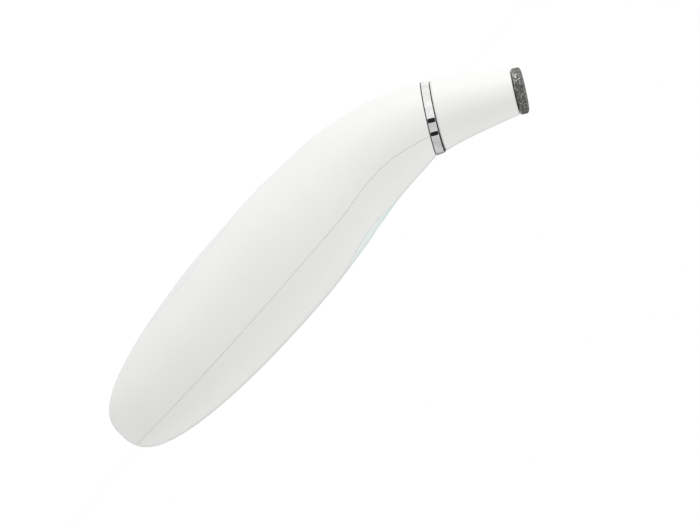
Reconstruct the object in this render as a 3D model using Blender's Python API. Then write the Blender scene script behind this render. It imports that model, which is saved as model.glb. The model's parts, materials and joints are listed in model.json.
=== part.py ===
"""Cordless facial microdermabrasion device, lying on its back cover.

Metres, +Z up. +X runs along the straight part of the handle, from the tail towards the head,
and the device is the same on both sides of the XZ plane. The origin is the middle of the small
flat that the device rests on, and "back" is the side that faces down, "front" the side with
the control panel.

The handle is one lofted form: superellipse sections carried along a spine that is straight at
first and bends up at the neck. Two moulded half shells share it, joined by a stepped seam.
Inside lie the battery, the motor with its vacuum pump, the board and the hose to the neck.
The head pulls off the neck, and the abrasive tip pulls off the head.
"""
import math

import bmesh
import bpy
import numpy as np
from mathutils import Matrix

# Clearances
GAP = 0.0003                    # between pieces that touch on the real device
RUN = 0.00008                   # between a turning shaft and its hole
SLIM = 0.00015                  # between a sealing ring and the bore it closes
PAST = 0.0040                   # how far a cutter reaches past the surface it opens
OFF_EDGE = math.radians(7.5)    # turn that keeps a hole's corners off its face's own edges

# Handle form, measured along the spine from the tail
HANDLE_LENGTH = 0.1527
BELLY_AT = 0.0800               # where the handle is fullest
BELLY_HALF_DEPTH = 0.0214       # half the handle from back to front
BELLY_HALF_WIDTH = 0.0204       # half the handle from side to side
NECK_RADIUS = 0.01285
TAIL_POWER = 2.15               # how quickly the tail fills out
TAIL_ROUND = 2.95               # how blunt its tip is
NECK_POWER = 1.715              # how the belly runs down to the neck
BELLY_SQUARE = 2.25             # superellipse power of the belly section, 2 is an ellipse
BEND_AT = 0.1170                # where the spine starts to bend
SPINE_BEND = math.radians(25.1)
LEAN_AT = 0.1225                # where the section planes start to lean towards the head
NECK_LEAN = math.radians(36.5)  # lean of the plane that closes the neck
LEAN_POWER = 1.67

# Where it rests
REST_AT = 0.0760                # distance from the tail to the point over the origin
REST_DEPTH = 0.00035            # how deep the flat is cut into the back panel
SPINE_HEIGHT = BELLY_HALF_DEPTH - REST_DEPTH

# Half shells
WALL = 0.0024
SEAM_TAIL = 0.0053              # seam above the spine, at the tail
SEAM_BELLY = 0.0078             # at its highest
SEAM_NECK = 0.0054              # at the neck
SEAM_DROP = (0.1030, 0.1375)    # where it runs down from the belly to the neck
LIP = 0.0012                    # depth of the step that the shells share
STATIONS = 25                   # sections along a shell
BACK_COLUMNS = 18
FRONT_COLUMNS = 14
INNER_COLUMNS = 10

# Back panel
PANEL_AT = 0.0618
PANEL_HALF_LENGTH = 0.0370
PANEL_HALF_WIDTH = 0.0098
PANEL_THICKNESS = 0.0010

# Control panel, all placed by their distance from the tail
BEZEL_AT = 0.1080
BEZEL_HALF_LENGTH = 0.0155
BEZEL_HALF_WIDTH = 0.0088
BEZEL_THICKNESS = 0.0016
BEZEL_FLANGE = 0.0012           # how far the inner flange reaches past the opening
FLANGE_THICKNESS = 0.0008
BEZEL_SKIRT = 0.85              # share of the outline where the skirt starts
BUTTON_AT = 0.1120
BUTTON_RADIUS = 0.0036
BUTTON_FLANGE = 0.0010
BUTTON_DISH = 0.00025
BUTTON_STEM_RADIUS = 0.0014
BUTTON_TRAVEL = 0.0006
LENS_AT = 0.1010
LENS_HALF_LENGTH = 0.0038
LENS_HALF_WIDTH = 0.0013

# Circuit board under the control panel
BOARD_START = 0.0905
BOARD_END = 0.1250
BOARD_HALF_WIDTH = 0.0095
BOARD_LOW = 0.0104              # underside above the spine
BOARD_THICKNESS = 0.0016
BOARD_CORNER = 0.0015
CHIP_SIZE = (0.0060, 0.0060, 0.0012)
CHIP_AT = 0.1015
PLUG_SIZE = (0.0045, 0.0120, 0.0009)
PLUG_AT = 0.0985
SWITCH_SIZE = 0.0060
SWITCH_HEIGHT = 0.0022
PLUNGER_RADIUS = 0.0016
PLUNGER_HEIGHT = 0.0008
BOARD_POST_RADIUS = 0.0014
BOARD_POST_INSET = 0.0025
BOARD_POST_SIDE = 0.0075

# Battery, motor and pump, on one axis below the spine
CORE_DROP = 0.0032
CORE_HEIGHT = SPINE_HEIGHT - CORE_DROP
BATTERY_START = 0.0170
BATTERY_LENGTH = 0.0500
BATTERY_RADIUS = 0.0090
BATTERY_EDGE = 0.0007
TERMINAL_RADIUS = 0.0030
TERMINAL_HEIGHT = 0.0009
MOTOR_START = 0.0730
MOTOR_LENGTH = 0.0260
MOTOR_RADIUS = 0.0120
CAN_WALL = 0.0010
CAP_THICKNESS = 0.0022
SHAFT_RADIUS = 0.0010
ROTOR_RADIUS = 0.0085
ROTOR_LENGTH = 0.0140
ROTOR_FRONT_ROOM = 0.0030       # from the wound core to the can's front wall
WINDING_OVERHANG = 0.0010       # windings past each end of the core
WINDING_RADIUS = 0.0051
COMMUTATOR_RADIUS = 0.0030
AIR_GAP = 0.0005
SLEEVE_WALL = 0.0010
SLEEVE_LENGTH = 0.0150
PUMP_RADIUS = 0.0120
PUMP_WALL = 0.0013
CRANKCASE_LENGTH = 0.0092
CRANK_RADIUS = 0.0042
CRANK_THROW = 0.0008
CRANK_LENGTH = 0.0038
CRANK_POCKET = 0.0024
WOBBLE_RADIUS = 0.0092
WOBBLE_THICKNESS = 0.0013
PIN_RADIUS = 0.0009
PIN_LENGTH = 0.0018
DIAPHRAGM_THICKNESS = 0.0008
CUP_RADIUS = 0.0028
CUP_HEIGHT = 0.0019
CUP_CIRCLE = 0.0056
VALVE_THICKNESS = 0.0012
VALVE_HOLE_RADIUS = 0.0007
COVER_THICKNESS = 0.0022
COVER_DOME = 0.0012
NOZZLE_RADIUS = 0.0019
NOZZLE_LENGTH = 0.0070
NOZZLE_BORE = 0.0011

# Chassis
PLATE_LOW = 0.0044              # underside of the plate below the spine
PLATE_THICKNESS = 0.0020
PLATE_START = 0.0160
PLATE_END = 0.1230
PLATE_SIDE_GAP = 0.0005
SADDLE_WALL = 0.0012
SADDLE_LENGTH = 0.0030
BATTERY_SADDLES = (0.0240, 0.0590)
MOTOR_SADDLES = (0.0790, 0.0895)
SCREW_REAR = MOTOR_START - 0.0031
SCREW_FRONT = 0.1195
SCREW_FROM_WALL = 0.0055        # from the inside of the wall to a screw's middle
SCREW_RADIUS = 0.0010
SCREW_LENGTH = 0.0080
SCREW_HEAD_RADIUS = 0.0020
SCREW_HEAD_HEIGHT = 0.0014
SCREW_HEAD_TOP = 0.0012
BOSS_RADIUS = 0.0025

# Charging socket and its small board, at the tail
SOCKET_HALF_LENGTH = 0.00445
SOCKET_HALF_WIDTH = 0.0016
SOCKET_DEPTH = 0.0075
SOCKET_RECESS = 0.0009
SOCKET_DROP = 0.0010
SOCKET_SHEET = 0.0004
TONGUE_THICKNESS = 0.0007
TONGUE_LENGTH = 0.0052
CHARGE_BOARD_START = 0.0052
CHARGE_BOARD_END = 0.0155
CHARGE_BOARD_HALF_WIDTH = 0.0052
CHARGE_BOARD_THICKNESS = 0.0012

# Neck, along the head's axis from the plane that closes the handle
COLLAR_LENGTH = 0.0034          # from the handle to the head
RING_REAR_RADIUS = 0.0127
RING_FRONT_RADIUS = 0.0124
RING_WALL = 0.0008
RING_EDGE = 0.0002
SLOT_ANGLES = (math.radians(1.3), math.radians(23.0))
SLOT_WIDTH = 0.0015
SLOT_LENGTH = 0.0024
SPIGOT_COLLAR_RADIUS = 0.0092
SPIGOT_RADIUS = 0.0076
SPIGOT_REACH = 0.0137
SPIGOT_FLANGE = 0.0030
SPIGOT_ROOT_RADIUS = 0.0060
SPIGOT_ROOT = 0.0080
SPIGOT_BORE = 0.0023
BARB_RADIUS = 0.0019
BARB_LENGTH = 0.0050
BARB_BORE = 0.0011
SPIGOT_CHAMFER = 0.0005
SPIGOT_GROOVE_AT = 0.0090
SPIGOT_SEAL_CORD = 0.00055      # half the thickness of the sealing ring
HOSE_WALL = 0.0012
HOSE_PULL = 0.4                 # how far its bend reaches along each straight end

# Head
HEAD_LENGTH = 0.0274
HEAD_BASE_RADIUS = 0.0131
HEAD_END_RADIUS = 0.0079
HEAD_BASE_SHIFT = -0.0005       # the section's middle, away from the control side
HEAD_END_SHIFT = -0.0026
HEAD_TAPER_POWER = 0.83
HEAD_SHIFT_POWER = 0.60
HEAD_BASE_EDGE = 0.0008
HEAD_END_EDGE = 0.0005
FILTER_RADIUS = 0.0059
FILTER_THICKNESS = 0.0024
HEAD_CHANNEL_RADIUS = 0.0024

# Abrasive tip
TIP_RADIUS = 0.0080
TIP_RIM = 0.0021                # straight part of the tip's edge
TIP_DOME = 0.0012
TIP_BORE = 0.0025
TIP_FACE_RADIUS = 0.0046        # flat ring round the suction hole
TIP_EDGE = 0.0005
STEM_RADIUS = 0.0051
STEM_LENGTH = 0.0069
STEM_GROOVE_AT = 0.0041         # below the tip's underside
STEM_SEAL_CORD = 0.00045

TINY = 1e-6


def clear_scene():
    for item in list(bpy.data.objects):
        bpy.data.objects.remove(item, do_unlink=True)


def finish(name, colour, roughness, metallic=0.0, alpha=1.0):
    """A plain Principled material."""
    material = bpy.data.materials.new(name)
    material.use_nodes = True
    shader = material.node_tree.nodes["Principled BSDF"]
    shader.inputs["Base Color"].default_value = (*colour, 1.0)
    shader.inputs["Roughness"].default_value = roughness
    shader.inputs["Metallic"].default_value = metallic
    shader.inputs["Alpha"].default_value = alpha
    material.diffuse_color = (*colour, alpha)
    return material


def make_finishes():
    return {
        "white": finish("white_plastic", (0.86, 0.86, 0.85), 0.32),
        "panel": finish("panel_plastic", (0.84, 0.84, 0.83), 0.40),
        "teal": finish("teal_lens", (0.55, 0.86, 0.84), 0.18, alpha=0.8),
        "lens": finish("frosted_lens", (0.90, 0.96, 0.95), 0.30, alpha=0.7),
        "chrome": finish("chrome", (0.78, 0.79, 0.80), 0.12, metallic=1.0),
        "rubber": finish("black_rubber", (0.02, 0.02, 0.02), 0.60),
        "grit": finish("diamond_grit", (0.18, 0.18, 0.17), 0.55, metallic=0.5),
        "steel": finish("steel", (0.60, 0.61, 0.62), 0.35, metallic=1.0),
        "dark": finish("dark_plastic", (0.05, 0.05, 0.055), 0.45),
        "grey": finish("grey_plastic", (0.45, 0.46, 0.47), 0.45),
        "board": finish("board_green", (0.02, 0.18, 0.09), 0.40),
        "battery": finish("battery_wrap", (0.10, 0.28, 0.55), 0.35),
        "silicone": finish("silicone", (0.80, 0.82, 0.82), 0.35, alpha=0.7),
        "felt": finish("filter_felt", (0.88, 0.88, 0.86), 0.95),
        "copper": finish("rotor", (0.55, 0.30, 0.16), 0.40, metallic=1.0),
        "brass": finish("brass", (0.75, 0.60, 0.30), 0.35, metallic=1.0),
    }


class Patchwork:
    """Grids of points and the faces between them, welded into one closed body."""

    def __init__(self):
        self.points = []
        self.faces = []
        self.count = 0

    def rows(self, points):
        """Adds points of shape (rows, columns, 3) and gives their numbers."""
        points = np.asarray(points, float)
        numbers = np.arange(points.shape[0] * points.shape[1]).reshape(points.shape[:2]) + self.count
        self.points.append(points.reshape(-1, 3))
        self.count += numbers.size
        return numbers

    def skin(self, numbers):
        """Quads between neighbouring rows and columns."""
        corners = np.stack([numbers[:-1, :-1], numbers[:-1, 1:], numbers[1:, 1:], numbers[1:, :-1]], -1)
        self.faces += [tuple(int(v) for v in quad) for quad in corners.reshape(-1, 4)]

    def face(self, numbers):
        self.faces.append(tuple(int(v) for v in numbers))

    def body(self, name, material, parent=None, sharp=35.0):
        mesh = bpy.data.meshes.new(name)
        mesh.from_pydata([tuple(p) for p in np.concatenate(self.points)], [], self.faces)
        work = bmesh.new()
        work.from_mesh(mesh)
        bmesh.ops.remove_doubles(work, verts=work.verts, dist=TINY)
        bmesh.ops.recalc_face_normals(work, faces=work.faces)
        work.to_mesh(mesh)
        work.free()
        mesh.shade_smooth()
        mesh.set_sharp_from_angle(angle=math.radians(sharp))
        item = bpy.data.objects.new(name, mesh)
        bpy.context.scene.collection.objects.link(item)
        item.parent = parent
        if material:
            mesh.materials.append(material)
        return item


def as_cutter(item):
    item.hide_render = True
    item.display_type = "WIRE"
    return item


def combine(item, other, operation):
    """A live Boolean with another object, which is then only a guide."""
    step = item.modifiers.new(operation.lower() + "_" + other.name, "BOOLEAN")
    step.operation = operation
    step.solver = "EXACT"
    step.object = as_cutter(other)


def cut(item, *cutters):
    for cutter in cutters:
        combine(item, cutter, "DIFFERENCE")


def join(item, *others):
    for other in others:
        combine(item, other, "UNION")


def axis_frame(name, x, z, lean, parent=None, shift=0.0):
    """An empty whose own Z runs along a part's axis, and whose own X points to the front."""
    frame = bpy.data.objects.new(name, None)
    frame.empty_display_size = 0.005
    bpy.context.scene.collection.objects.link(frame)
    if parent:
        frame.parent = parent
        frame.location = (shift, 0, 0)
        return frame
    along = (math.cos(lean), 0, math.sin(lean))
    front = (-math.sin(lean), 0, math.cos(lean))
    turn = Matrix((front, (0, -1, 0), along)).transposed().to_4x4()
    frame.matrix_world = Matrix.Translation((x, 0, z)) @ turn
    return frame


def ring_rows(profile, segments):
    """Circles about the local Z axis for a profile of (along, radius) or (along, radius, shift)."""
    angle = np.linspace(0, 2 * math.pi, segments + 1)
    table = np.array([(*p, 0.0)[:3] for p in profile])
    along, radius, shift = (table[:, i:i + 1] for i in range(3))
    x = shift + radius * np.cos(angle)
    y = radius * np.sin(angle)
    return np.stack([x, y, along + 0 * angle], -1)


def turned(name, profile, material, parent, segments=18, through=False):
    """A turned body. A profile that goes through is a loop with a bore, others end on the axis."""
    if through:
        profile = list(profile) + [profile[0]]
    work = Patchwork()
    work.skin(work.rows(ring_rows(profile, segments)))
    return work.body(name, material, parent)


def arc(along, radius, size, start, end, steps, shift=0.0):
    """Profile points on a round edge about (along, radius), in degrees from the axis."""
    turns = np.radians(np.linspace(start, end, steps + 1))
    return [(along + size * math.cos(t), radius + size * math.sin(t), shift) for t in turns]


def prism(name, outline, low, high, material=None, axis="Z"):
    """An outline carried straight along Z, or along X for an outline given as (y, z)."""
    outline = np.asarray(outline, float)
    work = Patchwork()
    level = np.array([low, high])[:, None] + 0 * outline[:, 0]
    first, second = outline[:, 0] + 0 * level, outline[:, 1] + 0 * level
    points = np.stack([level, first, second] if axis == "X" else [first, second, level], -1)
    numbers = work.rows(points)
    work.skin(np.concatenate([numbers, numbers[:, :1]], axis=1))
    work.face(numbers[0])
    work.face(numbers[1])
    return work.body(name, material)


def box(name, low, high, material=None):
    outline = [(low[0], low[1]), (high[0], low[1]), (high[0], high[1]), (low[0], high[1])]
    return prism(name, outline, low[2], high[2], material)


def circle(x, y, radius, segments, start=0.0, end=2 * math.pi):
    whole = abs(end - start - 2 * math.pi) < TINY
    angle = np.linspace(start, end, segments + 1)[:segments if whole else None]
    return np.stack([x + radius * np.cos(angle), y + radius * np.sin(angle)], -1)


def post(name, x, y, radius, low, high, segments=16):
    return prism(name, circle(x, y, radius, segments, OFF_EDGE, OFF_EDGE + 2 * math.pi), low, high)


# Form of the handle


def place(s):
    """World X of a point on the straight spine that lies s from the tail."""
    return s - REST_AT


def spine(s):
    """Points of the spine and the lean of their section planes, s from the tail."""
    s = np.asarray(s, float)
    radius = (HANDLE_LENGTH - BEND_AT) / SPINE_BEND
    bend = np.clip((s - BEND_AT) / radius, 0, None)
    x = place(np.minimum(s, BEND_AT)) + radius * np.sin(bend)
    z = SPINE_HEIGHT + radius * (1 - np.cos(bend))
    share = np.clip((s - LEAN_AT) / (HANDLE_LENGTH - LEAN_AT), 0, 1)
    return x, z, NECK_LEAN * share ** LEAN_POWER


def along_at(x):
    """Distance along the spine to world X, the other way round."""
    radius = (HANDLE_LENGTH - BEND_AT) / SPINE_BEND
    past = np.clip(x - place(BEND_AT), 0, None)
    return np.minimum(x, place(BEND_AT)) + REST_AT + radius * np.arcsin(past / radius)


def half_size(s, belly):
    """Half depth or half width: a blunt power curve to the belly, a softer one to the neck."""
    s = np.asarray(s, float)
    grown = 1 - (1 - np.clip(s / BELLY_AT, 0, 1)) ** TAIL_POWER
    rear = belly * grown ** (1 / TAIL_ROUND)
    past = np.clip((s - BELLY_AT) / (HANDLE_LENGTH - BELLY_AT), 0, 1)
    front = NECK_RADIUS + (belly - NECK_RADIUS) * (1 - past ** NECK_POWER)
    return np.where(s < BELLY_AT, rear, front)


def tail_slope(s):
    """Angle of the skin to the spine on the tail side, 90 degrees at the very tip."""
    left = 1 - np.clip(np.asarray(s, float) / BELLY_AT, 0, 1)
    rise = BELLY_HALF_DEPTH / TAIL_ROUND * TAIL_POWER / BELLY_AT * left ** (TAIL_POWER - 1)
    return np.arctan2(rise, (1 - left ** TAIL_POWER) ** (1 - 1 / TAIL_ROUND))


def section(s, inset=0.0):
    """Middle, lean, half sizes and power of a section, with its outline moved in by inset."""
    s = np.asarray(s, float)
    slope = tail_slope(s)
    depth = half_size(s, BELLY_HALF_DEPTH) - inset * np.cos(slope)
    width = half_size(s, BELLY_HALF_WIDTH) - inset * np.cos(slope)
    x, z, lean = spine(s)
    x = x + inset * np.sin(slope)
    past = np.clip((s - BELLY_AT) / (HANDLE_LENGTH - BELLY_AT), 0, 1)
    return x, z, lean, depth, width, BELLY_SQUARE + (2 - BELLY_SQUARE) * past


def form(s, angle, inset=0.0):
    """Points of the form, at an angle that runs from +Y over the front."""
    x, z, lean, depth, width, square = section(s, inset)
    up = depth * np.sign(np.sin(angle)) * np.abs(np.sin(angle)) ** (2 / square)
    side = width * np.sign(np.cos(angle)) * np.abs(np.cos(angle)) ** (2 / square)
    return np.stack([x - up * np.sin(lean), side, z + up * np.cos(lean)], -1)


def seam(s):
    """Height of the seam above the spine: up along a parabola to the belly, then down in an S."""
    s = np.asarray(s, float)
    rise = 1 - (1 - np.clip(s / BELLY_AT, 0, 1)) ** 2
    share = np.clip((s - SEAM_DROP[0]) / (SEAM_DROP[1] - SEAM_DROP[0]), 0, 1)
    drop = share * share * (3 - 2 * share)
    return SEAM_TAIL + (SEAM_BELLY - SEAM_TAIL) * rise - (SEAM_BELLY - SEAM_NECK) * drop


def rim_angle(s, inset, height):
    """Angle at which a section's outline passes the seam's height plus an offset."""
    _, _, _, depth, _, square = section(s, inset)
    share = np.clip((seam(s) + height) / np.maximum(depth, TINY), 0, 1)
    return np.arcsin(share ** (square / 2))


def rim_start(inset, height):
    """Distance from the tail at which a section first reaches that height."""
    s = np.linspace(0, BELLY_AT / 2, 4001)
    over = section(s, inset)[3] - seam(s) - height
    return float(np.interp(0.0, over, s))


def form_level(x, y, inset=0.0, side=1):
    """Height of the form over a point of the plan, on the front (1) or the back (-1)."""
    s = along_at(x)
    _, z, _, depth, width, square = section(s, inset)
    share = 1 - np.clip(np.abs(y) / width, 0, 1) ** square
    return z + side * depth * share ** (1 / square)


def under(inset, side=1):
    return lambda x, y: form_level(x, y, inset, side)


def level(z):
    return lambda x, y: z + 0 * x


def side_reach(x, z, inset):
    """Half width of the form at a height, over X."""
    s = along_at(x)
    _, middle, _, depth, width, square = section(s, inset)
    share = 1 - np.clip(np.abs(z - middle) / depth, 0, 1) ** square
    return width * share ** (1 / square)


def oval(name, s, layers, material=None, segments=32, parent=None, side=0.0):
    """Ovals stacked over one middle: each layer is (half length, half width, height function)."""
    angle = np.linspace(0, 2 * math.pi, segments + 1)
    rows = []
    for half_length, half_width, height in layers:
        x = place(s) + half_length * np.cos(angle)
        y = side + half_width * np.sin(angle)
        rows.append(np.stack([x, y, height(x, y)], -1))
    work = Patchwork()
    work.skin(work.rows(rows))
    item = work.body(name, material)
    if parent:
        item.parent = parent
        item.matrix_parent_inverse = parent.matrix_world.inverted()
    return item


def wall_post(name, s, side, radius, end, face, segments=12):
    """Round post from inside the wall on the front (1) or the back (-1) to the height end."""
    root = under(WALL / 2, face)
    layers = [(0, 0, root), (radius, radius, root), (radius, radius, level(end)), (0, 0, level(end))]
    return oval(name, s, layers, segments=segments, side=side)


def disc_layers(half_length, half_width, height, shares):
    return [(half_length * k, half_width * k, height) for k in shares]


# Half shells


def half_shell(name, material, front):
    """One moulded half: outer skin, stepped rim along the seam, inner skin and the neck's end."""
    step = WALL / 2
    if front:
        rim = [(0.0, GAP / 2), (step + GAP / 2, GAP / 2), (step + GAP / 2, -LIP), (WALL, -LIP)]
        columns = (FRONT_COLUMNS, INNER_COLUMNS)
    else:
        deep = -LIP - GAP
        rim = [(0.0, -GAP / 2), (step - GAP / 2, -GAP / 2), (step - GAP / 2, deep), (WALL, deep)]
        columns = (BACK_COLUMNS, INNER_COLUMNS)
    share = (np.arange(STATIONS + 1) / STATIONS) ** 1.8
    work = Patchwork()

    def stations(inset, height):
        start = rim_start(inset, height)
        s = start + (HANDLE_LENGTH - start) * share
        angle = rim_angle(s, inset, height)
        angle[0] = math.pi / 2
        return start, s, angle

    def patch(inset, height, count):
        start, s, angle = stations(inset, height)
        if not front:
            s = np.concatenate([[0.0, 0.3 * start], s])
            angle = np.concatenate([[math.pi / 2, math.pi / 2], angle])
        sweep = (math.pi - 2 * angle) if front else (-math.pi - 2 * angle)
        turn = angle[:, None] + sweep[:, None] * np.linspace(0, 1, count + 1)
        numbers = work.rows(form(s[:, None], turn, inset))
        work.skin(numbers)
        return numbers

    outer = patch(*rim[0], columns[0])
    inner = patch(*rim[-1], columns[1])
    edges = []
    for inset, height in rim:
        _, s, angle = stations(inset, height)
        edges.append(work.rows(np.stack([form(s, angle, inset), form(s, math.pi - angle, inset)])))
    for first, second in zip(edges, edges[1:]):
        work.skin(np.stack([first[0], second[0]]))
        work.skin(np.stack([first[1], second[1]]))
    end = list(outer[-1]) + [edges[1][1][-1], edges[2][1][-1]]
    end += list(inner[-1][::-1]) + [edges[2][0][-1], edges[1][0][-1]]
    work.face(end)
    return work.body(name, material)


def back_panel(material):
    """Flush oval inlay on the back, cut flat where the device rests."""
    size = (PANEL_HALF_LENGTH, PANEL_HALF_WIDTH)
    layers = disc_layers(*size, under(PANEL_THICKNESS, -1), (0, 0.5, 1))
    layers += disc_layers(*size, under(0.0, -1), (1, 0.8, 0.55, 0.3, 0))
    item = oval("back_panel", PANEL_AT, layers, material, segments=40)
    work = bmesh.new()
    work.from_mesh(item.data)
    everything = work.verts[:] + work.edges[:] + work.faces[:]
    sliced = bmesh.ops.bisect_plane(work, geom=everything, plane_co=(0, 0, 0), plane_no=(0, 0, 1),
                                    clear_inner=True)
    rim = [e for e in sliced["geom_cut"] if isinstance(e, bmesh.types.BMEdge)]
    bmesh.ops.contextual_create(work, geom=rim)
    bmesh.ops.recalc_face_normals(work, faces=work.faces)
    work.to_mesh(item.data)
    work.free()
    return item


def panel_pocket():
    size = (PANEL_HALF_LENGTH + GAP, PANEL_HALF_WIDTH + GAP)
    layers = disc_layers(*size, under(PANEL_THICKNESS + GAP, -1), (0, 0.5, 1))
    layers += disc_layers(*size, under(-PAST, -1), (1, 0))
    return oval("panel_pocket", PANEL_AT, layers, segments=40)


def chassis_screws():
    """Plan positions of the four screws, as (distance from the tail, side)."""
    spots = []
    for s in (SCREW_REAR, SCREW_FRONT):
        side = float(side_reach(place(s), plate_levels()[0], WALL)) - SCREW_FROM_WALL
        spots += [(s, side), (s, -side)]
    return spots


def plate_levels():
    low = SPINE_HEIGHT - PLATE_LOW
    return low, low + PLATE_THICKNESS


def screw_hole(name, s, side, low):
    top = plate_levels()[1] + SCREW_HEAD_HEIGHT
    return post(name, place(s), side, SCREW_RADIUS + GAP, low, top, segments=12)


def add_bosses(shell):
    """Four bosses that stand on the inside of the back shell and carry the chassis."""
    top = plate_levels()[0] - GAP
    for number, (s, side) in enumerate(chassis_screws(), 1):
        join(shell, wall_post(f"boss_{number}", s, side, BOSS_RADIUS, top, -1))
        floor = top - SCREW_LENGTH - GAP
        cut(shell, screw_hole(f"boss_hole_{number}", s, side, floor))


def stadium(half_length, half_width, height, segments=6):
    """Outline (y, z) with round ends, as the charging plug has."""
    flat = half_length - half_width
    right = circle(flat, height, half_width, segments, -math.pi / 2, math.pi / 2)
    left = circle(-flat, height, half_width, segments, math.pi / 2, 3 * math.pi / 2)
    return np.concatenate([right, left])


def socket_height():
    return SPINE_HEIGHT - SOCKET_DROP


def back_shell(material):
    shell = half_shell("back_shell", material, front=False)
    add_bosses(shell)
    mouth = stadium(SOCKET_HALF_LENGTH + GAP, SOCKET_HALF_WIDTH + GAP, socket_height())
    cut(shell, prism("socket_mouth", mouth, place(-PAST), place(2 * WALL), axis="X"))
    cut(shell, panel_pocket())
    return shell


def board_levels():
    low = SPINE_HEIGHT + BOARD_LOW
    return low, low + BOARD_THICKNESS


def front_shell(material):
    """Front half, with the opening for the control panel and four posts that hold the board."""
    shell = half_shell("front_shell", material, front=True)
    size = (BEZEL_HALF_LENGTH + GAP, BEZEL_HALF_WIDTH + GAP)
    layers = disc_layers(*size, under(3 * WALL), (0, 1)) + disc_layers(*size, under(-WALL), (1, 0))
    low = board_levels()[1] + GAP
    for row, s in enumerate((BOARD_START + BOARD_POST_INSET, BOARD_END - BOARD_POST_INSET), 1):
        for side in (1, -1):
            name = f"board_post_{row}_{'left' if side > 0 else 'right'}"
            join(shell, wall_post(name, s, side * BOARD_POST_SIDE, BOARD_POST_RADIUS, low, 1))
    cut(shell, oval("bezel_opening", BEZEL_AT, layers))
    return shell


# Control panel


def control_bezel(material):
    """Translucent inlay: a curved plate with a skirt and a flange that sits behind the wall."""
    a, b = BEZEL_HALF_LENGTH, BEZEL_HALF_WIDTH
    deep = WALL + GAP + FLANGE_THICKNESS
    layers = disc_layers(a, b, under(BEZEL_THICKNESS), (0, 0.45, BEZEL_SKIRT))
    layers += disc_layers(a, b, under(deep), (BEZEL_SKIRT,))
    layers += disc_layers(a + BEZEL_FLANGE, b + BEZEL_FLANGE, under(deep), (1,))
    layers += disc_layers(a + BEZEL_FLANGE, b + BEZEL_FLANGE, under(WALL + GAP), (1,))
    layers += disc_layers(a, b, under(WALL + GAP), (1,))
    layers += disc_layers(a, b, under(0.0), (1, 0.75, 0.5, 0.25, 0))
    item = oval("control_bezel", BEZEL_AT, layers, material, segments=28)
    hole = BUTTON_RADIUS + GAP
    through = [(0, 0, under(3 * WALL)), (hole, hole, under(3 * WALL))]
    through += [(hole, hole, under(-WALL)), (0, 0, under(-WALL))]
    size = (LENS_HALF_LENGTH + GAP, LENS_HALF_WIDTH + GAP)
    slot = disc_layers(*size, under(3 * WALL), (0, 1)) + disc_layers(*size, under(-WALL), (1, 0))
    cut(item, oval("button_hole", BUTTON_AT, through, segments=24))
    cut(item, oval("lens_hole", LENS_AT, slot, segments=20))
    return item


def indicator_lens(material):
    size = (LENS_HALF_LENGTH, LENS_HALF_WIDTH)
    layers = disc_layers(*size, under(BEZEL_THICKNESS), (0, 1)) + disc_layers(*size, under(0), (1, 0))
    return oval("indicator_lens", LENS_AT, layers, material, segments=20)


def switch_top():
    return board_levels()[1] + GAP + SWITCH_HEIGHT + PLUNGER_HEIGHT


def power_button(material):
    """Round key with a shallow dish, a retaining flange and a stem down to the switch."""
    frame = axis_frame("button_axis", place(BUTTON_AT), SPINE_HEIGHT + BELLY_HALF_DEPTH, math.pi / 2)
    bpy.context.view_layer.update()
    cap = BUTTON_RADIUS
    wide = cap + BUTTON_FLANGE
    high = under(BEZEL_THICKNESS + GAP)
    low = under(BEZEL_THICKNESS + GAP + FLANGE_THICKNESS)
    stem = level(switch_top() + BUTTON_TRAVEL + SLIM)
    layers = [(0, 0, stem), (BUTTON_STEM_RADIUS, BUTTON_STEM_RADIUS, stem)]
    layers += [(BUTTON_STEM_RADIUS, BUTTON_STEM_RADIUS, low), (wide, wide, low), (wide, wide, high)]
    layers += [(cap, cap, high), (cap, cap, under(SLIM)), (0.93 * cap, 0.93 * cap, under(0))]
    layers += disc_layers(cap, cap, under(BUTTON_DISH), (0.65, 0))
    return oval("power_button", BUTTON_AT, layers, material, segments=24, parent=frame)


def circuit_board(material):
    """Board with a chip on top and a plug connector underneath."""
    low, top = board_levels()
    x0, x1, y1, corner = place(BOARD_START), place(BOARD_END), BOARD_HALF_WIDTH, BOARD_CORNER
    outline = [(x0, -y1), (x1 - corner, -y1), (x1, corner - y1), (x1, y1 - corner),
               (x1 - corner, y1), (x0, y1)]
    item = prism("circuit_board", outline, low, top, material)
    bite = BOARD_THICKNESS / 3
    length, width, height = CHIP_SIZE
    chip = box("board_chip", (place(CHIP_AT) - length / 2, -width / 2, top - bite),
               (place(CHIP_AT) + length / 2, width / 2, top + height))
    length, width, height = PLUG_SIZE
    plug = box("board_plug", (place(PLUG_AT) - length / 2, -width / 2, low - height),
               (place(PLUG_AT) + length / 2, width / 2, low + bite))
    join(item, chip, plug)
    return item


def tactile_switch(material):
    low = board_levels()[1] + GAP
    half = SWITCH_SIZE / 2
    x = place(BUTTON_AT)
    item = box("tactile_switch", (x - half, -half, low), (x + half, half, low + SWITCH_HEIGHT), material)
    join(item, post("switch_plunger", x, 0, PLUNGER_RADIUS, low + SWITCH_HEIGHT / 2, switch_top(), 12))
    return item


# Battery, motor and pump


def core_axis(name, s):
    return axis_frame(name, place(s), CORE_HEIGHT, 0.0)


def battery_cell(material):
    r, end = BATTERY_RADIUS, BATTERY_LENGTH
    edge = BATTERY_EDGE
    profile = [(0, 0), (0, r - edge), (edge, r), (end - edge, r), (end, r - edge)]
    profile += [(end, TERMINAL_RADIUS), (end + TERMINAL_HEIGHT, TERMINAL_RADIUS),
                (end + TERMINAL_HEIGHT, 0)]
    return turned("battery_cell", profile, material, core_axis("battery_axis", BATTERY_START))


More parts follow.
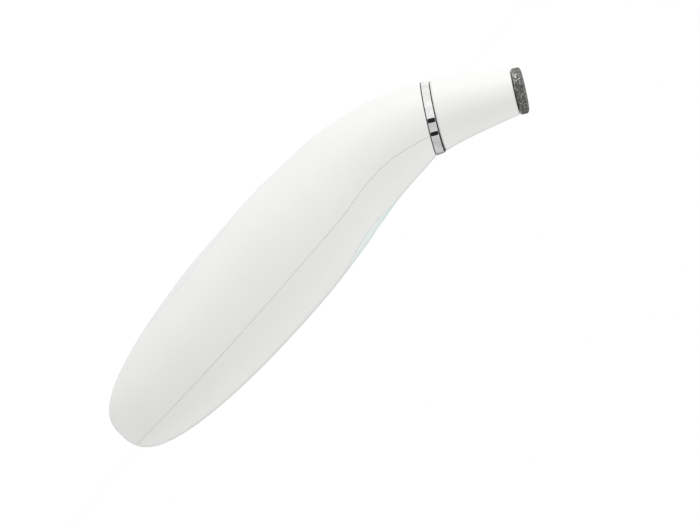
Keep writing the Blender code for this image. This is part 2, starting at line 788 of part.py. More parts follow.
def motor_can(material, axis):
    """Steel can, open at the rear, with a shaft hole in its front wall."""
    inner = MOTOR_RADIUS - CAN_WALL
    hole = SHAFT_RADIUS + RUN
    profile = [(0, inner), (0, MOTOR_RADIUS), (MOTOR_LENGTH, MOTOR_RADIUS), (MOTOR_LENGTH, hole),
               (MOTOR_LENGTH - CAN_WALL, hole), (MOTOR_LENGTH - CAN_WALL, inner)]
    return turned("motor_can", profile, material, axis, through=True)


def motor_end_cap(material, axis):
    r = MOTOR_RADIUS - CAN_WALL - GAP
    hole = SHAFT_RADIUS + RUN
    profile = [(GAP, hole), (GAP, r), (GAP + CAP_THICKNESS, r), (GAP + CAP_THICKNESS, hole)]
    return turned("motor_end_cap", profile, material, axis, through=True)


def rotor_start():
    return MOTOR_LENGTH - CAN_WALL - ROTOR_FRONT_ROOM - ROTOR_LENGTH


def motor_magnets(material, axis):
    """Ring magnet round the rotor, against the can."""
    start = rotor_start()
    outer = MOTOR_RADIUS - CAN_WALL - GAP
    inner = ROTOR_RADIUS + AIR_GAP
    profile = [(start, inner), (start, outer), (start + ROTOR_LENGTH, outer), (start + ROTOR_LENGTH, inner)]
    return turned("motor_magnets", profile, material, axis, through=True)


def motor_rotor(material, axis):
    """Shaft with its commutator and wound core."""
    start = rotor_start()
    shaft = SHAFT_RADIUS
    brushes = GAP + CAP_THICKNESS + GAP
    profile = [(GAP, 0), (GAP, shaft), (brushes, shaft), (brushes, COMMUTATOR_RADIUS)]
    rear, front = start - WINDING_OVERHANG, start + ROTOR_LENGTH + WINDING_OVERHANG
    profile += [(rear, COMMUTATOR_RADIUS), (rear, WINDING_RADIUS), (start, ROTOR_RADIUS)]
    profile += [(start + ROTOR_LENGTH, ROTOR_RADIUS), (front, WINDING_RADIUS), (front, shaft)]
    end = MOTOR_LENGTH + pocket_floor()
    profile += [(end, shaft), (end, 0)]
    return turned("motor_rotor", profile, material, axis, segments=20)


def motor_sleeve(material, axis):
    """Rubber sleeve that keeps the motor's vibration out of the handle."""
    middle = MOTOR_LENGTH / 2
    low, high = middle - SLEEVE_LENGTH / 2, middle + SLEEVE_LENGTH / 2
    inner = MOTOR_RADIUS + GAP
    outer = inner + SLEEVE_WALL
    profile = [(low, inner), (low, outer), (high, outer), (high, inner)]
    return turned("motor_sleeve", profile, material, axis, through=True)


def crankcase(material, axis):
    """Cup at the front of the motor in which the crank turns."""
    inner = PUMP_RADIUS - PUMP_WALL
    hole = 3 * SHAFT_RADIUS
    back = PUMP_WALL / 2
    profile = [(0, hole), (0, PUMP_RADIUS), (CRANKCASE_LENGTH, PUMP_RADIUS), (CRANKCASE_LENGTH, inner),
               (back, inner), (back, hole)]
    return turned("pump_crankcase", profile, material, axis, through=True)


def pump_crank(material, axis):
    """Off-centre disc on the shaft, with a pocket in its face for the wobble plate's pin."""
    start = PUMP_WALL
    end = start + CRANK_LENGTH
    bore = SHAFT_RADIUS + GAP
    floor = pocket_floor()
    profile = [(start, bore), (start, CRANK_RADIUS, CRANK_THROW), (end, CRANK_RADIUS, CRANK_THROW),
               (end, CRANK_POCKET), (floor, CRANK_POCKET), (floor, bore)]
    return turned("pump_crank", profile, material, axis, through=True)


def wobble_front():
    """Front face of the wobble plate, from the crankcase's rear."""
    return CRANKCASE_LENGTH + GAP - CUP_HEIGHT - GAP


def pocket_floor():
    """Floor of the crank's pocket, just behind the wobble plate's pin."""
    return wobble_front() - WOBBLE_THICKNESS - PIN_LENGTH - GAP


def wobble_plate(material, axis):
    """Plate that the crank rocks, with a pin that reaches into the crank's pocket."""
    front = wobble_front()
    back = front - WOBBLE_THICKNESS
    tip = back - PIN_LENGTH
    profile = [(tip, 0), (tip, PIN_RADIUS), (back, PIN_RADIUS), (back, WOBBLE_RADIUS),
               (front, WOBBLE_RADIUS), (front, 0)]
    return turned("wobble_plate", profile, material, axis)


def around(name, axis, circle_radius, radius, low, high, segments):
    """Three discs evenly spaced about an axis."""
    parts = []
    for number in range(3):
        profile = [(low, 0), (low, radius), (high, radius), (high, 0)]
        item = turned(f"{name}_{number + 1}", profile, None, axis, segments)
        turn = 2 * math.pi * number / 3 + OFF_EDGE
        item.location = (circle_radius * math.cos(turn), circle_radius * math.sin(turn), 0)
        parts.append(item)
    return parts


def pump_diaphragm(material, axis):
    """Rubber sheet with three cups towards the wobble plate."""
    low = CRANKCASE_LENGTH + GAP
    high = low + DIAPHRAGM_THICKNESS
    r = PUMP_RADIUS - GAP
    item = turned("pump_diaphragm", [(low, 0), (low, r), (high, r), (high, 0)], material, axis)
    middle = low + DIAPHRAGM_THICKNESS / 2
    join(item, *around("cup", axis, CUP_CIRCLE, CUP_RADIUS, low - CUP_HEIGHT, middle, 12))
    return item


def valve_low():
    return CRANKCASE_LENGTH + GAP + DIAPHRAGM_THICKNESS + GAP


def valve_plate(material, axis):
    low = valve_low()
    high = low + VALVE_THICKNESS
    r = PUMP_RADIUS - GAP
    item = turned("valve_plate", [(low, 0), (low, r), (high, r), (high, 0)], material, axis)
    cut(item, *around("valve_hole", axis, CUP_CIRCLE, VALVE_HOLE_RADIUS, low - GAP, high + GAP, 8))
    return item


def cover_low():
    return valve_low() + VALVE_THICKNESS + GAP


def pump_cover(material, axis):
    """Front cover with its hollow, its dome and the suction nozzle."""
    low = cover_low()
    high = low + COVER_THICKNESS
    dome = high + COVER_DOME
    tip = high + NOZZLE_LENGTH
    hollow = low + COVER_THICKNESS / 2
    reach = CUP_CIRCLE + CUP_RADIUS
    profile = [(low, reach), (low, PUMP_RADIUS), (high, PUMP_RADIUS), (dome, PUMP_RADIUS / 2),
               (dome, NOZZLE_RADIUS), (tip, NOZZLE_RADIUS), (tip, NOZZLE_BORE), (hollow, NOZZLE_BORE),
               (hollow, reach)]
    return turned("pump_cover", profile, material, axis, through=True)


def pump_start():
    """Rear of the crankcase, from the tail."""
    return MOTOR_START + MOTOR_LENGTH + GAP


def neck_point(along):
    """World X and Z of a point on the head's axis, measured from the handle's end."""
    x, z, lean = spine(HANDLE_LENGTH)
    return float(x) + along * math.cos(lean), float(z) + along * math.sin(lean)


def suction_hose(material):
    """Hose from the pump's nozzle to the barb at the neck: a straight end, a bend, a straight end."""
    inner = NOZZLE_RADIUS + GAP
    outer = inner + HOSE_WALL
    x0 = place(pump_start() + cover_low() + COVER_THICKNESS + COVER_DOME + GAP)
    x1 = place(pump_start() + cover_low() + COVER_THICKNESS + NOZZLE_LENGTH)
    start, leave = np.array([x0, CORE_HEIGHT]), np.array([x1, CORE_HEIGHT])
    arrive = np.array(neck_point(-SPIGOT_ROOT - BARB_LENGTH))
    end = np.array(neck_point(-SPIGOT_ROOT - GAP))
    pull = HOSE_PULL * np.linalg.norm(arrive - leave)
    first = leave + (pull, 0)
    second = arrive - pull * np.array([math.cos(NECK_LEAN), math.sin(NECK_LEAN)])
    t = np.linspace(0, 1, 9)[:, None]
    bend = (1 - t) ** 3 * leave + 3 * t * (1 - t) ** 2 * first + 3 * t ** 2 * (1 - t) * second + t ** 3 * arrive
    path = np.vstack([start, bend, end])
    way = np.gradient(path, axis=0)
    way[0], way[-1] = path[1] - path[0], path[-1] - path[-2]
    way /= np.linalg.norm(way, axis=1)[:, None]
    angle = np.linspace(0, 2 * math.pi, 11)

    def rings(radius):
        x = path[:, :1] - radius * way[:, 1:] * np.cos(angle)
        z = path[:, 1:] + radius * way[:, :1] * np.cos(angle)
        return np.stack([x, radius * np.sin(angle) + 0 * x, z], -1)

    work = Patchwork()
    rows = np.concatenate([rings(outer), rings(inner)[::-1], rings(outer)[:1]])
    work.skin(work.rows(rows))
    return work.body("suction_hose", material)


# Chassis


def chassis(material):
    """Flat frame between the shells with half round saddles for the battery and the motor."""
    low, top = plate_levels()
    x = np.linspace(place(PLATE_START), place(PLATE_END), 15)
    reach = np.minimum(side_reach(x, low, WALL), side_reach(x, top, WALL)) - PLATE_SIDE_GAP
    outline = np.concatenate([np.stack([x, -reach], -1), np.stack([x, reach], -1)[::-1]])
    item = prism("chassis", outline, low, top, material)
    middle = (low + top) / 2
    cell = BATTERY_RADIUS + GAP
    drive = MOTOR_RADIUS + GAP + SLEEVE_WALL + GAP
    for kind, radius, spots in (("cell", cell, BATTERY_SADDLES), ("motor", drive, MOTOR_SADDLES)):
        for number, s in enumerate(spots, 1):
            start = math.asin((middle - CORE_HEIGHT) / (radius + SADDLE_WALL))
            outline = circle(0, CORE_HEIGHT, radius + SADDLE_WALL, 14, math.pi - start, 2 * math.pi + start)
            name = f"{kind}_saddle_{number}"
            join(item, prism(name, outline, place(s), place(s) + SADDLE_LENGTH, axis="X"))
    pump = PUMP_RADIUS + GAP
    hose = NOZZLE_RADIUS + GAP + HOSE_WALL + GAP
    cell_end = BATTERY_START + BATTERY_LENGTH + TERMINAL_HEIGHT + GAP
    cover_end = pump_start() + cover_low() + COVER_THICKNESS + COVER_DOME + GAP
    bores = (("cell", cell, BATTERY_START - GAP, cell_end), ("motor", drive, MOTOR_START - GAP, pump_start()),
             ("pump", pump, pump_start() - GAP, cover_end), ("hose", hose, cover_end - GAP, PLATE_END + GAP))
    for name, radius, start, end in bores:
        outline = circle(0, CORE_HEIGHT, radius, 20)
        cut(item, prism(f"{name}_bore", outline, place(start), place(end), axis="X"))
    for number, (s, side) in enumerate(chassis_screws(), 1):
        cut(item, screw_hole(f"plate_hole_{number}", s, side, low - GAP))
    return item


def chassis_screw(number, s, side, material):
    """Pan head screw through the chassis into a boss of the back shell."""
    top = plate_levels()[1] + GAP
    frame = bpy.data.objects.new(f"screw_axis_{number}", None)
    bpy.context.scene.collection.objects.link(frame)
    frame.location = (place(s), side, top)
    head, tip = SCREW_HEAD_HEIGHT, -PLATE_THICKNESS - SCREW_LENGTH
    profile = [(tip, 0), (tip + SCREW_RADIUS, SCREW_RADIUS), (0, SCREW_RADIUS), (0, SCREW_HEAD_RADIUS),
               (head / 2, SCREW_HEAD_RADIUS), (head, SCREW_HEAD_TOP), (head, 0)]
    return turned(f"chassis_screw_{number}", profile, material, frame, segments=10)


# Charging socket


def charge_socket(material):
    """Metal shell of the charging socket, a blind stadium tube with its contact tongue."""
    x0 = place(SOCKET_RECESS)
    x1 = x0 + SOCKET_DEPTH
    z = socket_height()
    outline = stadium(SOCKET_HALF_LENGTH, SOCKET_HALF_WIDTH, z)
    item = prism("charge_socket", outline, x0, x1, material, axis="X")
    inner = stadium(SOCKET_HALF_LENGTH - SOCKET_SHEET, SOCKET_HALF_WIDTH - SOCKET_SHEET, z)
    cut(item, prism("socket_hollow", inner, x0 - WALL, x1 - SOCKET_SHEET, axis="X"))
    half = TONGUE_THICKNESS / 2
    width = SOCKET_HALF_LENGTH - SOCKET_HALF_WIDTH
    root = x1 - SOCKET_SHEET / 2
    join(item, box("socket_tongue", (root - TONGUE_LENGTH, -width, z - half), (root, width, z + half)))
    return item


def charge_board(material):
    top = socket_height() - SOCKET_HALF_WIDTH - GAP
    low = top - CHARGE_BOARD_THICKNESS
    w = CHARGE_BOARD_HALF_WIDTH
    return box("charge_board", (place(CHARGE_BOARD_START), -w, low), (place(CHARGE_BOARD_END), w, top),
               material)


# Neck and head


def collar_ring(material, axis):
    """Chrome ring between handle and head, with two release slots on each side."""
    low, high = GAP, COLLAR_LENGTH - GAP
    inner = RING_FRONT_RADIUS - RING_WALL
    profile = [(low, inner), (low, RING_REAR_RADIUS - RING_EDGE), (low + RING_EDGE, RING_REAR_RADIUS),
               (high - RING_EDGE, RING_FRONT_RADIUS), (high, RING_FRONT_RADIUS - RING_EDGE), (high, inner)]
    item = turned("collar_ring", profile, material, axis, segments=40, through=True)
    middle = COLLAR_LENGTH / 2
    for side in (1, -1):
        for number, angle in enumerate(SLOT_ANGLES, 1):
            half = (2 * RING_WALL, SLOT_WIDTH / 2, SLOT_LENGTH / 2)
            name = f"slot_{number}_{'left' if side > 0 else 'right'}"
            cutter = box(name, [-h for h in half], half)
            turn = side * (angle - math.pi / 2)
            r = RING_FRONT_RADIUS - RING_WALL / 2
            cutter.parent = axis
            cutter.location = (r * math.cos(turn), r * math.sin(turn), middle)
            cutter.rotation_euler = (0, 0, turn)
            cut(item, cutter)
    return item


def collar_gasket(material, axis):
    """Black sleeve behind the ring, seen through its slots and beside its edges."""
    low, high = GAP, COLLAR_LENGTH - GAP
    inner = SPIGOT_COLLAR_RADIUS + GAP
    outer = RING_FRONT_RADIUS - RING_WALL - GAP
    profile = [(low, inner), (low, outer), (high, outer), (high, inner)]
    return turned("collar_gasket", profile, material, axis, segments=30, through=True)


def groove(at, cord, surface):
    """Rectangular groove for a sealing ring, cut into a spigot of radius surface."""
    half = cord + GAP
    floor = surface + GAP - 2 * SLIM - 2 * cord
    return [(at - half, surface), (at - half, floor), (at + half, floor), (at + half, surface)]


def neck_spigot(material, axis):
    """Spigot held in the neck: a barb for the hose, a flange, and the nose that the head fits on."""
    root = -SPIGOT_ROOT
    barb = root - BARB_LENGTH
    flange = NECK_RADIUS - WALL - GAP
    shoulder = COLLAR_LENGTH - GAP
    end, edge = SPIGOT_REACH, SPIGOT_CHAMFER
    profile = [(barb, BARB_BORE), (barb, BARB_RADIUS), (root, BARB_RADIUS), (root, SPIGOT_ROOT_RADIUS)]
    profile += [(-SPIGOT_FLANGE, SPIGOT_ROOT_RADIUS), (-SPIGOT_FLANGE, flange - GAP), (0, flange)]
    profile += [(0, SPIGOT_COLLAR_RADIUS), (shoulder, SPIGOT_COLLAR_RADIUS), (shoulder, SPIGOT_RADIUS)]
    profile += groove(SPIGOT_GROOVE_AT, SPIGOT_SEAL_CORD, SPIGOT_RADIUS)
    profile += [(end - edge, SPIGOT_RADIUS), (end, SPIGOT_RADIUS - edge), (end, SPIGOT_BORE)]
    profile += [(root + PUMP_WALL, SPIGOT_BORE), (root + PUMP_WALL, BARB_BORE)]
    return turned("neck_spigot", profile, material, axis, segments=20, through=True)


def seal_ring(name, at, cord, bore, material, axis, segments=20):
    """Sealing ring of round section that nearly fills the bore round it."""
    middle = bore - SLIM - cord
    profile = [(at + cord * math.cos(t), middle + cord * math.sin(t))
               for t in np.linspace(0, 2 * math.pi, 7)[:-1] + math.pi / 6]
    return turned(name, profile, material, axis, segments, through=True)


def head_form(share):
    """Radius and shift of the head's outside, share being 0 at its base and 1 at its end."""
    radius = HEAD_BASE_RADIUS + (HEAD_END_RADIUS - HEAD_BASE_RADIUS) * share ** HEAD_TAPER_POWER
    shift = HEAD_BASE_SHIFT + (HEAD_END_SHIFT - HEAD_BASE_SHIFT) * share ** HEAD_SHIFT_POWER
    return radius, shift


def head_shell(material, axis):
    """Oblique cone: outside, socket for the tip, air channel, filter seat and hollow for the spigot."""
    base, end = COLLAR_LENGTH, COLLAR_LENGTH + HEAD_LENGTH
    cavity = SPIGOT_RADIUS + GAP
    cavity_end = SPIGOT_REACH + GAP
    seat = FILTER_RADIUS + GAP
    seat_end = cavity_end + FILTER_THICKNESS + 2 * GAP
    socket = STEM_RADIUS + GAP
    socket_floor = end + GAP - STEM_LENGTH - GAP
    edge = HEAD_BASE_EDGE
    profile = [(base, cavity, 0.0)]
    profile += arc(base + edge, HEAD_BASE_RADIUS - edge, edge, 180, 90, 3, HEAD_BASE_SHIFT)
    for share in (0.06, 0.15, 0.28, 0.45, 0.65, 0.84):
        profile.append((base + share * HEAD_LENGTH, *head_form(share)))
    rim = HEAD_END_EDGE
    last = 1 - rim / HEAD_LENGTH
    profile += [(end - rim, *head_form(last)), (end, HEAD_END_RADIUS - rim, HEAD_END_SHIFT)]
    profile += [(end, socket, HEAD_END_SHIFT), (socket_floor, socket, HEAD_END_SHIFT)]
    profile += [(socket_floor, HEAD_CHANNEL_RADIUS, HEAD_END_SHIFT), (seat_end, HEAD_CHANNEL_RADIUS, 0.0)]
    profile += [(seat_end, seat, 0.0), (cavity_end, seat, 0.0), (cavity_end, cavity, 0.0)]
    return turned("head_shell", profile, material, axis, segments=32, through=True)


def filter_pad(material, axis):
    low = SPIGOT_REACH + 2 * GAP
    high = low + FILTER_THICKNESS
    r = FILTER_RADIUS
    return turned("filter_pad", [(low, 0), (low, r), (high, r), (high, 0)], material, axis)


def abrasive_tip(material, axis):
    """Grit covered disc with a suction hole, on a stem that plugs into the head."""
    seat = COLLAR_LENGTH + HEAD_LENGTH + GAP
    foot = seat - STEM_LENGTH
    rim, top = seat + TIP_RIM, seat + TIP_RIM + TIP_DOME
    edge = TIP_EDGE
    profile = [(foot, TIP_BORE), (foot, STEM_RADIUS - edge), (foot + edge, STEM_RADIUS)]
    profile += groove(seat - STEM_GROOVE_AT, STEM_SEAL_CORD, STEM_RADIUS)
    profile += [(seat, STEM_RADIUS), (seat, TIP_RADIUS - edge / 2), (seat + edge / 2, TIP_RADIUS)]
    profile += [(rim, TIP_RADIUS), (rim + 0.55 * TIP_DOME, 0.93 * TIP_RADIUS)]
    profile += [(rim + 0.85 * TIP_DOME, 0.80 * TIP_RADIUS), (top, TIP_FACE_RADIUS)]
    profile += [(top, TIP_BORE + edge), (top - edge / 2, TIP_BORE)]
    return turned("abrasive_tip", profile, material, axis, segments=30, through=True)


def build():
    clear_scene()
    look = make_finishes()
    back_shell(look["white"])
    front_shell(look["white"])
    back_panel(look["panel"])
    control_bezel(look["teal"])
    indicator_lens(look["lens"])
    power_button(look["teal"])
    circuit_board(look["board"])
    tactile_switch(look["dark"])

    battery_cell(look["battery"])
    motor = core_axis("motor_axis", MOTOR_START)
    motor_can(look["steel"], motor)
    motor_end_cap(look["dark"], motor)
    motor_magnets(look["grey"], motor)
    motor_rotor(look["copper"], motor)
    motor_sleeve(look["rubber"], motor)
    pump = core_axis("pump_axis", pump_start())
    crankcase(look["grey"], pump)
    pump_crank(look["brass"], pump)
    wobble_plate(look["dark"], pump)
    pump_diaphragm(look["rubber"], pump)
    valve_plate(look["grey"], pump)
    pump_cover(look["grey"], pump)
    suction_hose(look["silicone"])
    chassis(look["grey"])
    for number, (s, side) in enumerate(chassis_screws(), 1):
        chassis_screw(number, s, side, look["steel"])
    charge_socket(look["steel"])
    charge_board(look["board"])

    x, z, lean = spine(HANDLE_LENGTH)
    neck = axis_frame("neck_axis", float(x), float(z), float(lean))
    neck_spigot(look["dark"], neck)
    collar_gasket(look["rubber"], neck)
    collar_ring(look["chrome"], neck)
    seal_ring("spigot_seal", SPIGOT_GROOVE_AT, SPIGOT_SEAL_CORD, SPIGOT_RADIUS + GAP, look["rubber"], neck)
    head = axis_frame("head_axis", 0, 0, 0, parent=neck)
    head_shell(look["white"], head)
    filter_pad(look["felt"], head)
    tip = axis_frame("tip_axis", 0, 0, 0, parent=head, shift=HEAD_END_SHIFT)
    abrasive_tip(look["grit"], tip)
    groove_at = COLLAR_LENGTH + HEAD_LENGTH + GAP - STEM_GROOVE_AT
    seal_ring("tip_seal", groove_at, STEM_SEAL_CORD, STEM_RADIUS + GAP, look["rubber"], tip)


build()
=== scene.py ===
# %% [markdown]
# # A cordless skin polishing device
#
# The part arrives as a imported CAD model: 36 solids that ride on five bodies. This file dresses it.
# Outer pieces are made again as dense, smooth surfaces from the same formulas as the CAD, so that
# their outlines and highlights are clean. Inner pieces keep their CAD shape and get real finishes.

# %% Load the frame
import json
import math

import bmesh
import bpy
import numpy as np
from mathutils import Matrix, Vector


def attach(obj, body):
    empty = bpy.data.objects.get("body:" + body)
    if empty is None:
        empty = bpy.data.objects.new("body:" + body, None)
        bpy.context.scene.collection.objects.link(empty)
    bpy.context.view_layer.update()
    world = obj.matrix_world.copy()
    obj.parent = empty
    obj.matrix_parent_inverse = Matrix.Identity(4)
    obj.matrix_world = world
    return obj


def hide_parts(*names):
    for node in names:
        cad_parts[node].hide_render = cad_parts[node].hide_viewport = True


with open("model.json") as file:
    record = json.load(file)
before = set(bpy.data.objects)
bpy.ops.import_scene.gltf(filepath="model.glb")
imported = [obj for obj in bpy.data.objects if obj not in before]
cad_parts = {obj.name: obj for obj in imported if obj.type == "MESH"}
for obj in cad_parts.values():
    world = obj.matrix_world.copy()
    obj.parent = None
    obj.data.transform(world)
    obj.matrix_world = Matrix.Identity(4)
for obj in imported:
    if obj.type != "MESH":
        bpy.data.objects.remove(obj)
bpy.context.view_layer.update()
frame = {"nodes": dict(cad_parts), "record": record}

# %% [markdown]
# ## Camera
#
# The photograph is a product shot from the side with a long lens, and the device stands at an angle
# in the picture. A free-standing part has to lie level on its back, so the tilt goes into the
# camera's roll. Only the view changes, and the part stays in the frame that the CAD gave it. The
# camera could be aimed with a constraint. As a matrix its three angles stay apart, and each can be
# set against the photograph by itself.

# %% Camera
LENS, SENSOR = 200.0, 36.0
VIEW_WIDTH = 0.2394
VIEW_MIDDLE = Vector((0.0209, 0.0, 0.0407))
VIEW_YAW = math.radians(6.3)
VIEW_PITCH = math.radians(0.0)
VIEW_ROLL = math.radians(49.0)


def camera_turn(yaw, pitch, roll):
    """Columns are the right, up and back of a camera beside the device that looks along -Y.

    Back leans from +Y by the yaw towards +X and by the pitch upwards. Right and up start along
    the world's -X and +Z and are then rolled about back."""
    ahead = math.cos(pitch)
    back = Vector((math.sin(yaw) * ahead, math.cos(yaw) * ahead, math.sin(pitch)))
    level = Vector((0, 0, 1)).cross(back).normalized()
    rise = back.cross(level)
    right = level * math.cos(math.pi - roll) + rise * math.sin(math.pi - roll)
    up = back.cross(right)
    return Matrix((right, up, back)).transposed()


camera_data = bpy.data.cameras.new("camera")
camera_data.lens = LENS
camera_data.sensor_width = SENSOR
camera = bpy.data.objects.new("camera", camera_data)
turn = camera_turn(VIEW_YAW, VIEW_PITCH, VIEW_ROLL)
distance = VIEW_WIDTH * LENS / SENSOR
camera.matrix_world = Matrix.Translation(VIEW_MIDDLE + turn.col[2] * distance) @ turn.to_4x4()
bpy.context.scene.collection.objects.link(camera)
bpy.context.scene.camera = camera
print("camera at", tuple(round(v, 3) for v in camera.matrix_world.translation))

# %% [markdown]
# ## Shader maths as Python
#
# A finish is a network of nodes. Written out link by link it is hard to read, so one small class
# wraps a socket and lets + - * and / add the Math nodes. The reflected forms are there so that
# 1 - mask works as well as mask - 1.

# %% Sockets that take part in arithmetic


class Value:
    """An output socket that takes part in Python arithmetic."""

    def __init__(self, network, socket):
        self.network = network
        self.socket = socket

    def maths(self, operation, *terms):
        """One Math node, fed with the given terms."""
        return self.network.add("ShaderNodeMath", {"operation": operation}, dict(enumerate(terms)))

    def __add__(self, other):
        return self.maths("ADD", self, other)

    def __radd__(self, other):
        return self.maths("ADD", other, self)

    def __sub__(self, other):
        return self.maths("SUBTRACT", self, other)

    def __rsub__(self, other):
        return self.maths("SUBTRACT", other, self)

    def __mul__(self, other):
        return self.maths("MULTIPLY", self, other)

    def __rmul__(self, other):
        return self.maths("MULTIPLY", other, self)

    def __truediv__(self, other):
        return self.maths("DIVIDE", self, other)

    def __rtruediv__(self, other):
        return self.maths("DIVIDE", other, self)

    def above(self, low, high):
        """0 below low and 1 above high, with a smooth step between them."""
        return self.network.add("ShaderNodeMapRange", {"interpolation_type": "SMOOTHSTEP"},
                                {"Value": self, "From Min": low, "From Max": high})


print("sockets can be added, subtracted, multiplied and divided")

# %% [markdown]
# ## Node trees
#
# Materials and the world are both node trees, so what adds a node is written once. One call gives
# the node's type, then its settings, then the values or links of its sockets. Settings come first
# because some of them decide which sockets a node has.

# %% Node trees


class Network:
    """A node tree, of a material or of the world."""

    def __init__(self, tree):
        self.tree = tree

    def add(self, kind, settings=None, sockets=None, output=0):
        """One node. Gives the value of one of its outputs."""
        node = self.tree.nodes.new(kind)
        for key, value in (settings or {}).items():
            if key == "stops":
                self.set_stops(node.color_ramp, value)
            else:
                setattr(node, key, value)
        for key, value in (sockets or {}).items():
            self.feed(node.inputs[key], value)
        return Value(self, node.outputs[output])

    @staticmethod
    def set_stops(ramp, stops):
        """Gives a colour ramp its stops, each (place, colour)."""
        while len(ramp.elements) < len(stops):
            ramp.elements.new(1.0)
        for element, (place, colour) in zip(ramp.elements, stops):
            element.position = place
            element.color = (*colour, 1.0)

    def feed(self, socket, value):
        """Links a value of the network to a socket, or sets a plain number or colour."""
        if isinstance(value, Value):
            self.tree.links.new(value.socket, socket)
        else:
            socket.default_value = value

    def rays(self, kind):
        """1 for one kind of ray, such as Is Glossy Ray, and 0 for all others."""
        return self.add("ShaderNodeLightPath", output=kind)

    def seen(self):
        """1 for rays that look straight or through clear plastic, and 0 for all others."""
        camera_ray = self.rays("Is Camera Ray")
        return camera_ray.maths("MAXIMUM", camera_ray, self.rays("Is Transmission Ray"))


def socket_name(key):
    """specular_ior_level gives Specular IOR Level."""
    return key.replace("_", " ").title().replace("Ior", "IOR")


print("example of a socket's name:", socket_name("specular_ior_level"))

# %% [markdown]
# ## Finishes
#
# Every finish starts from one Principled shader. Numbers that are the same all over the piece are
# set straight on its sockets, because the exported model keeps only those. What changes over the
# surface, such as a grain, is linked. Photographs of a surface could do the same, but noise in the
# piece's own coordinates needs no unwrapping and stays sharp from near by.

# %% Finishes


class Finish(Network):
    """A material with one Principled shader. Keys of constants are socket names."""

    def __init__(self, name, colour, **constants):
        self.material = bpy.data.materials.new(name)
        self.material.use_nodes = True
        super().__init__(self.material.node_tree)
        self.shader = self.tree.nodes["Principled BSDF"]
        self.shader.inputs["Base Color"].default_value = (*colour, 1.0)
        self.material.diffuse_color = (*colour, 1.0)
        self.give(**constants)

    def give(self, **sockets):
        """Links or sets sockets of the Principled shader."""
        for key, value in sockets.items():
            self.feed(self.shader.inputs[socket_name(key)], value)
        return self

    def where(self):
        """Object coordinates, in metres in the part's frame."""
        return self.add("ShaderNodeTexCoord", output="Object")

    def turned_to(self, place, lean):
        """The same coordinates moved and turned, so that Z runs along an axis at that place."""
        return self.add("ShaderNodeMapping", {"vector_type": "TEXTURE"}, {
            "Vector": self.where(), "Location": place, "Rotation": (0.0, math.pi / 2 - lean, 0.0)})

    def stretched(self, scale, place=None):
        """Coordinates times a scale for each axis: a low scale draws a pattern out along it."""
        return self.add("ShaderNodeVectorMath", {"operation": "MULTIPLY"},
                        {0: place or self.where(), 1: scale})

    def parts(self, place, axis):
        """One coordinate, 0 for X to 2 for Z."""
        return self.add("ShaderNodeSeparateXYZ", sockets={0: place}, output=axis)

    def noise(self, scale, detail=2.0, place=None, roughness=0.5):
        """Soft noise from 0 to 1, with scale cells to the metre."""
        return self.add("ShaderNodeTexNoise", sockets={
            "Vector": place or self.where(), "Scale": scale, "Detail": detail,
            "Roughness": roughness})

    def cells(self, scale, place=None, output="Distance"):
        """Cells round scattered points, scale of them to the metre."""
        return self.add("ShaderNodeTexVoronoi", {"feature": "F1"},
                        {"Vector": place or self.where(), "Scale": scale}, output)

    def blend(self, factor, first, second):
        """Mixes two colours, each three numbers or a value of the network."""
        first, second = ((*c, 1.0) if isinstance(c, tuple) else c for c in (first, second))
        return self.add("ShaderNodeMix", {"data_type": "RGBA"}, {0: factor, 6: first, 7: second}, 2)

    def relief(self, height, depth):
        """Bump: height runs from 0 to 1 and stands for depth metres."""
        bump = self.add("ShaderNodeBump", sockets={
            "Height": height, "Distance": depth, "Strength": 1.0})
        return self.give(normal=bump)


print("shader tools ready")

# %% [markdown]
# ## Backdrop
#
# The photograph is a cut-out: pure white behind, a soft light from the top of the picture, and much
# fill. The world is therefore plain white to the camera and through clear plastic, and darker as
# light, so that white plastic keeps its tone. Reflections see a plain pale room of their own. It is
# lighter towards the top of the picture, which gives the chrome ring a light and a dark side, and
# it has a dark flag straight behind the device. Only grazing reflections reach that flag, and they
# draw the thin dark edges that black cards leave round a white product. Real cards could stand in
# the scene, but then they would also shade it and show in other views.

# %% World
FILL = 0.650
ROOM_LOW, ROOM_HIGH, ROOM_STEP = 0.70, 1.17, (-0.35, 0.15)
FLAG_LEVEL, FLAG_SINK, FLAG_EDGE = 0.12, 0.12, (0.88, 0.97)
world = bpy.data.worlds.new("studio")
bpy.context.scene.world = world
world.use_nodes = True
sky = Network(world.node_tree)


def towards(direction):
    """Cosine between a ray and a direction."""
    ray = sky.add("ShaderNodeTexCoord", output="Generated")
    return sky.add("ShaderNodeVectorMath", {"operation": "DOT_PRODUCT"},
                   {0: ray, 1: direction}, "Value")


picture_top, into_picture = turn.col[1], -turn.col[2]
room = ROOM_LOW + (ROOM_HIGH - ROOM_LOW) * towards(picture_top).above(*ROOM_STEP)
flag_at = (into_picture - FLAG_SINK * picture_top).normalized()
room = room * (1.0 - (1.0 - FLAG_LEVEL) * towards(flag_at).above(*FLAG_EDGE))
level = FILL + (room - FILL) * sky.rays("Is Glossy Ray")
background = sky.tree.nodes["Background"]
background.inputs["Color"].default_value = (1.0, 1.0, 1.0, 1.0)
sky.feed(background.inputs["Strength"], level + (1.0 - level) * sky.seen())
print("world: fill", FILL, "| room from", ROOM_LOW, "to", ROOM_HIGH)

# %% [markdown]
# ## Floor
#
# The device lies on its back, and the light from the top of the picture reaches it from below the
# table. A sheet of glass could let that light through. Here the floor is a plain pale sheet that
# shades nothing. Only the camera sees it, and a glow lifts it to plain white, as in the cut-out
# photograph.

# %% Floor
FLOOR_SIZE, FLOOR_DROP, FLOOR_GLOW = 6.0, 0.0001, 0.42


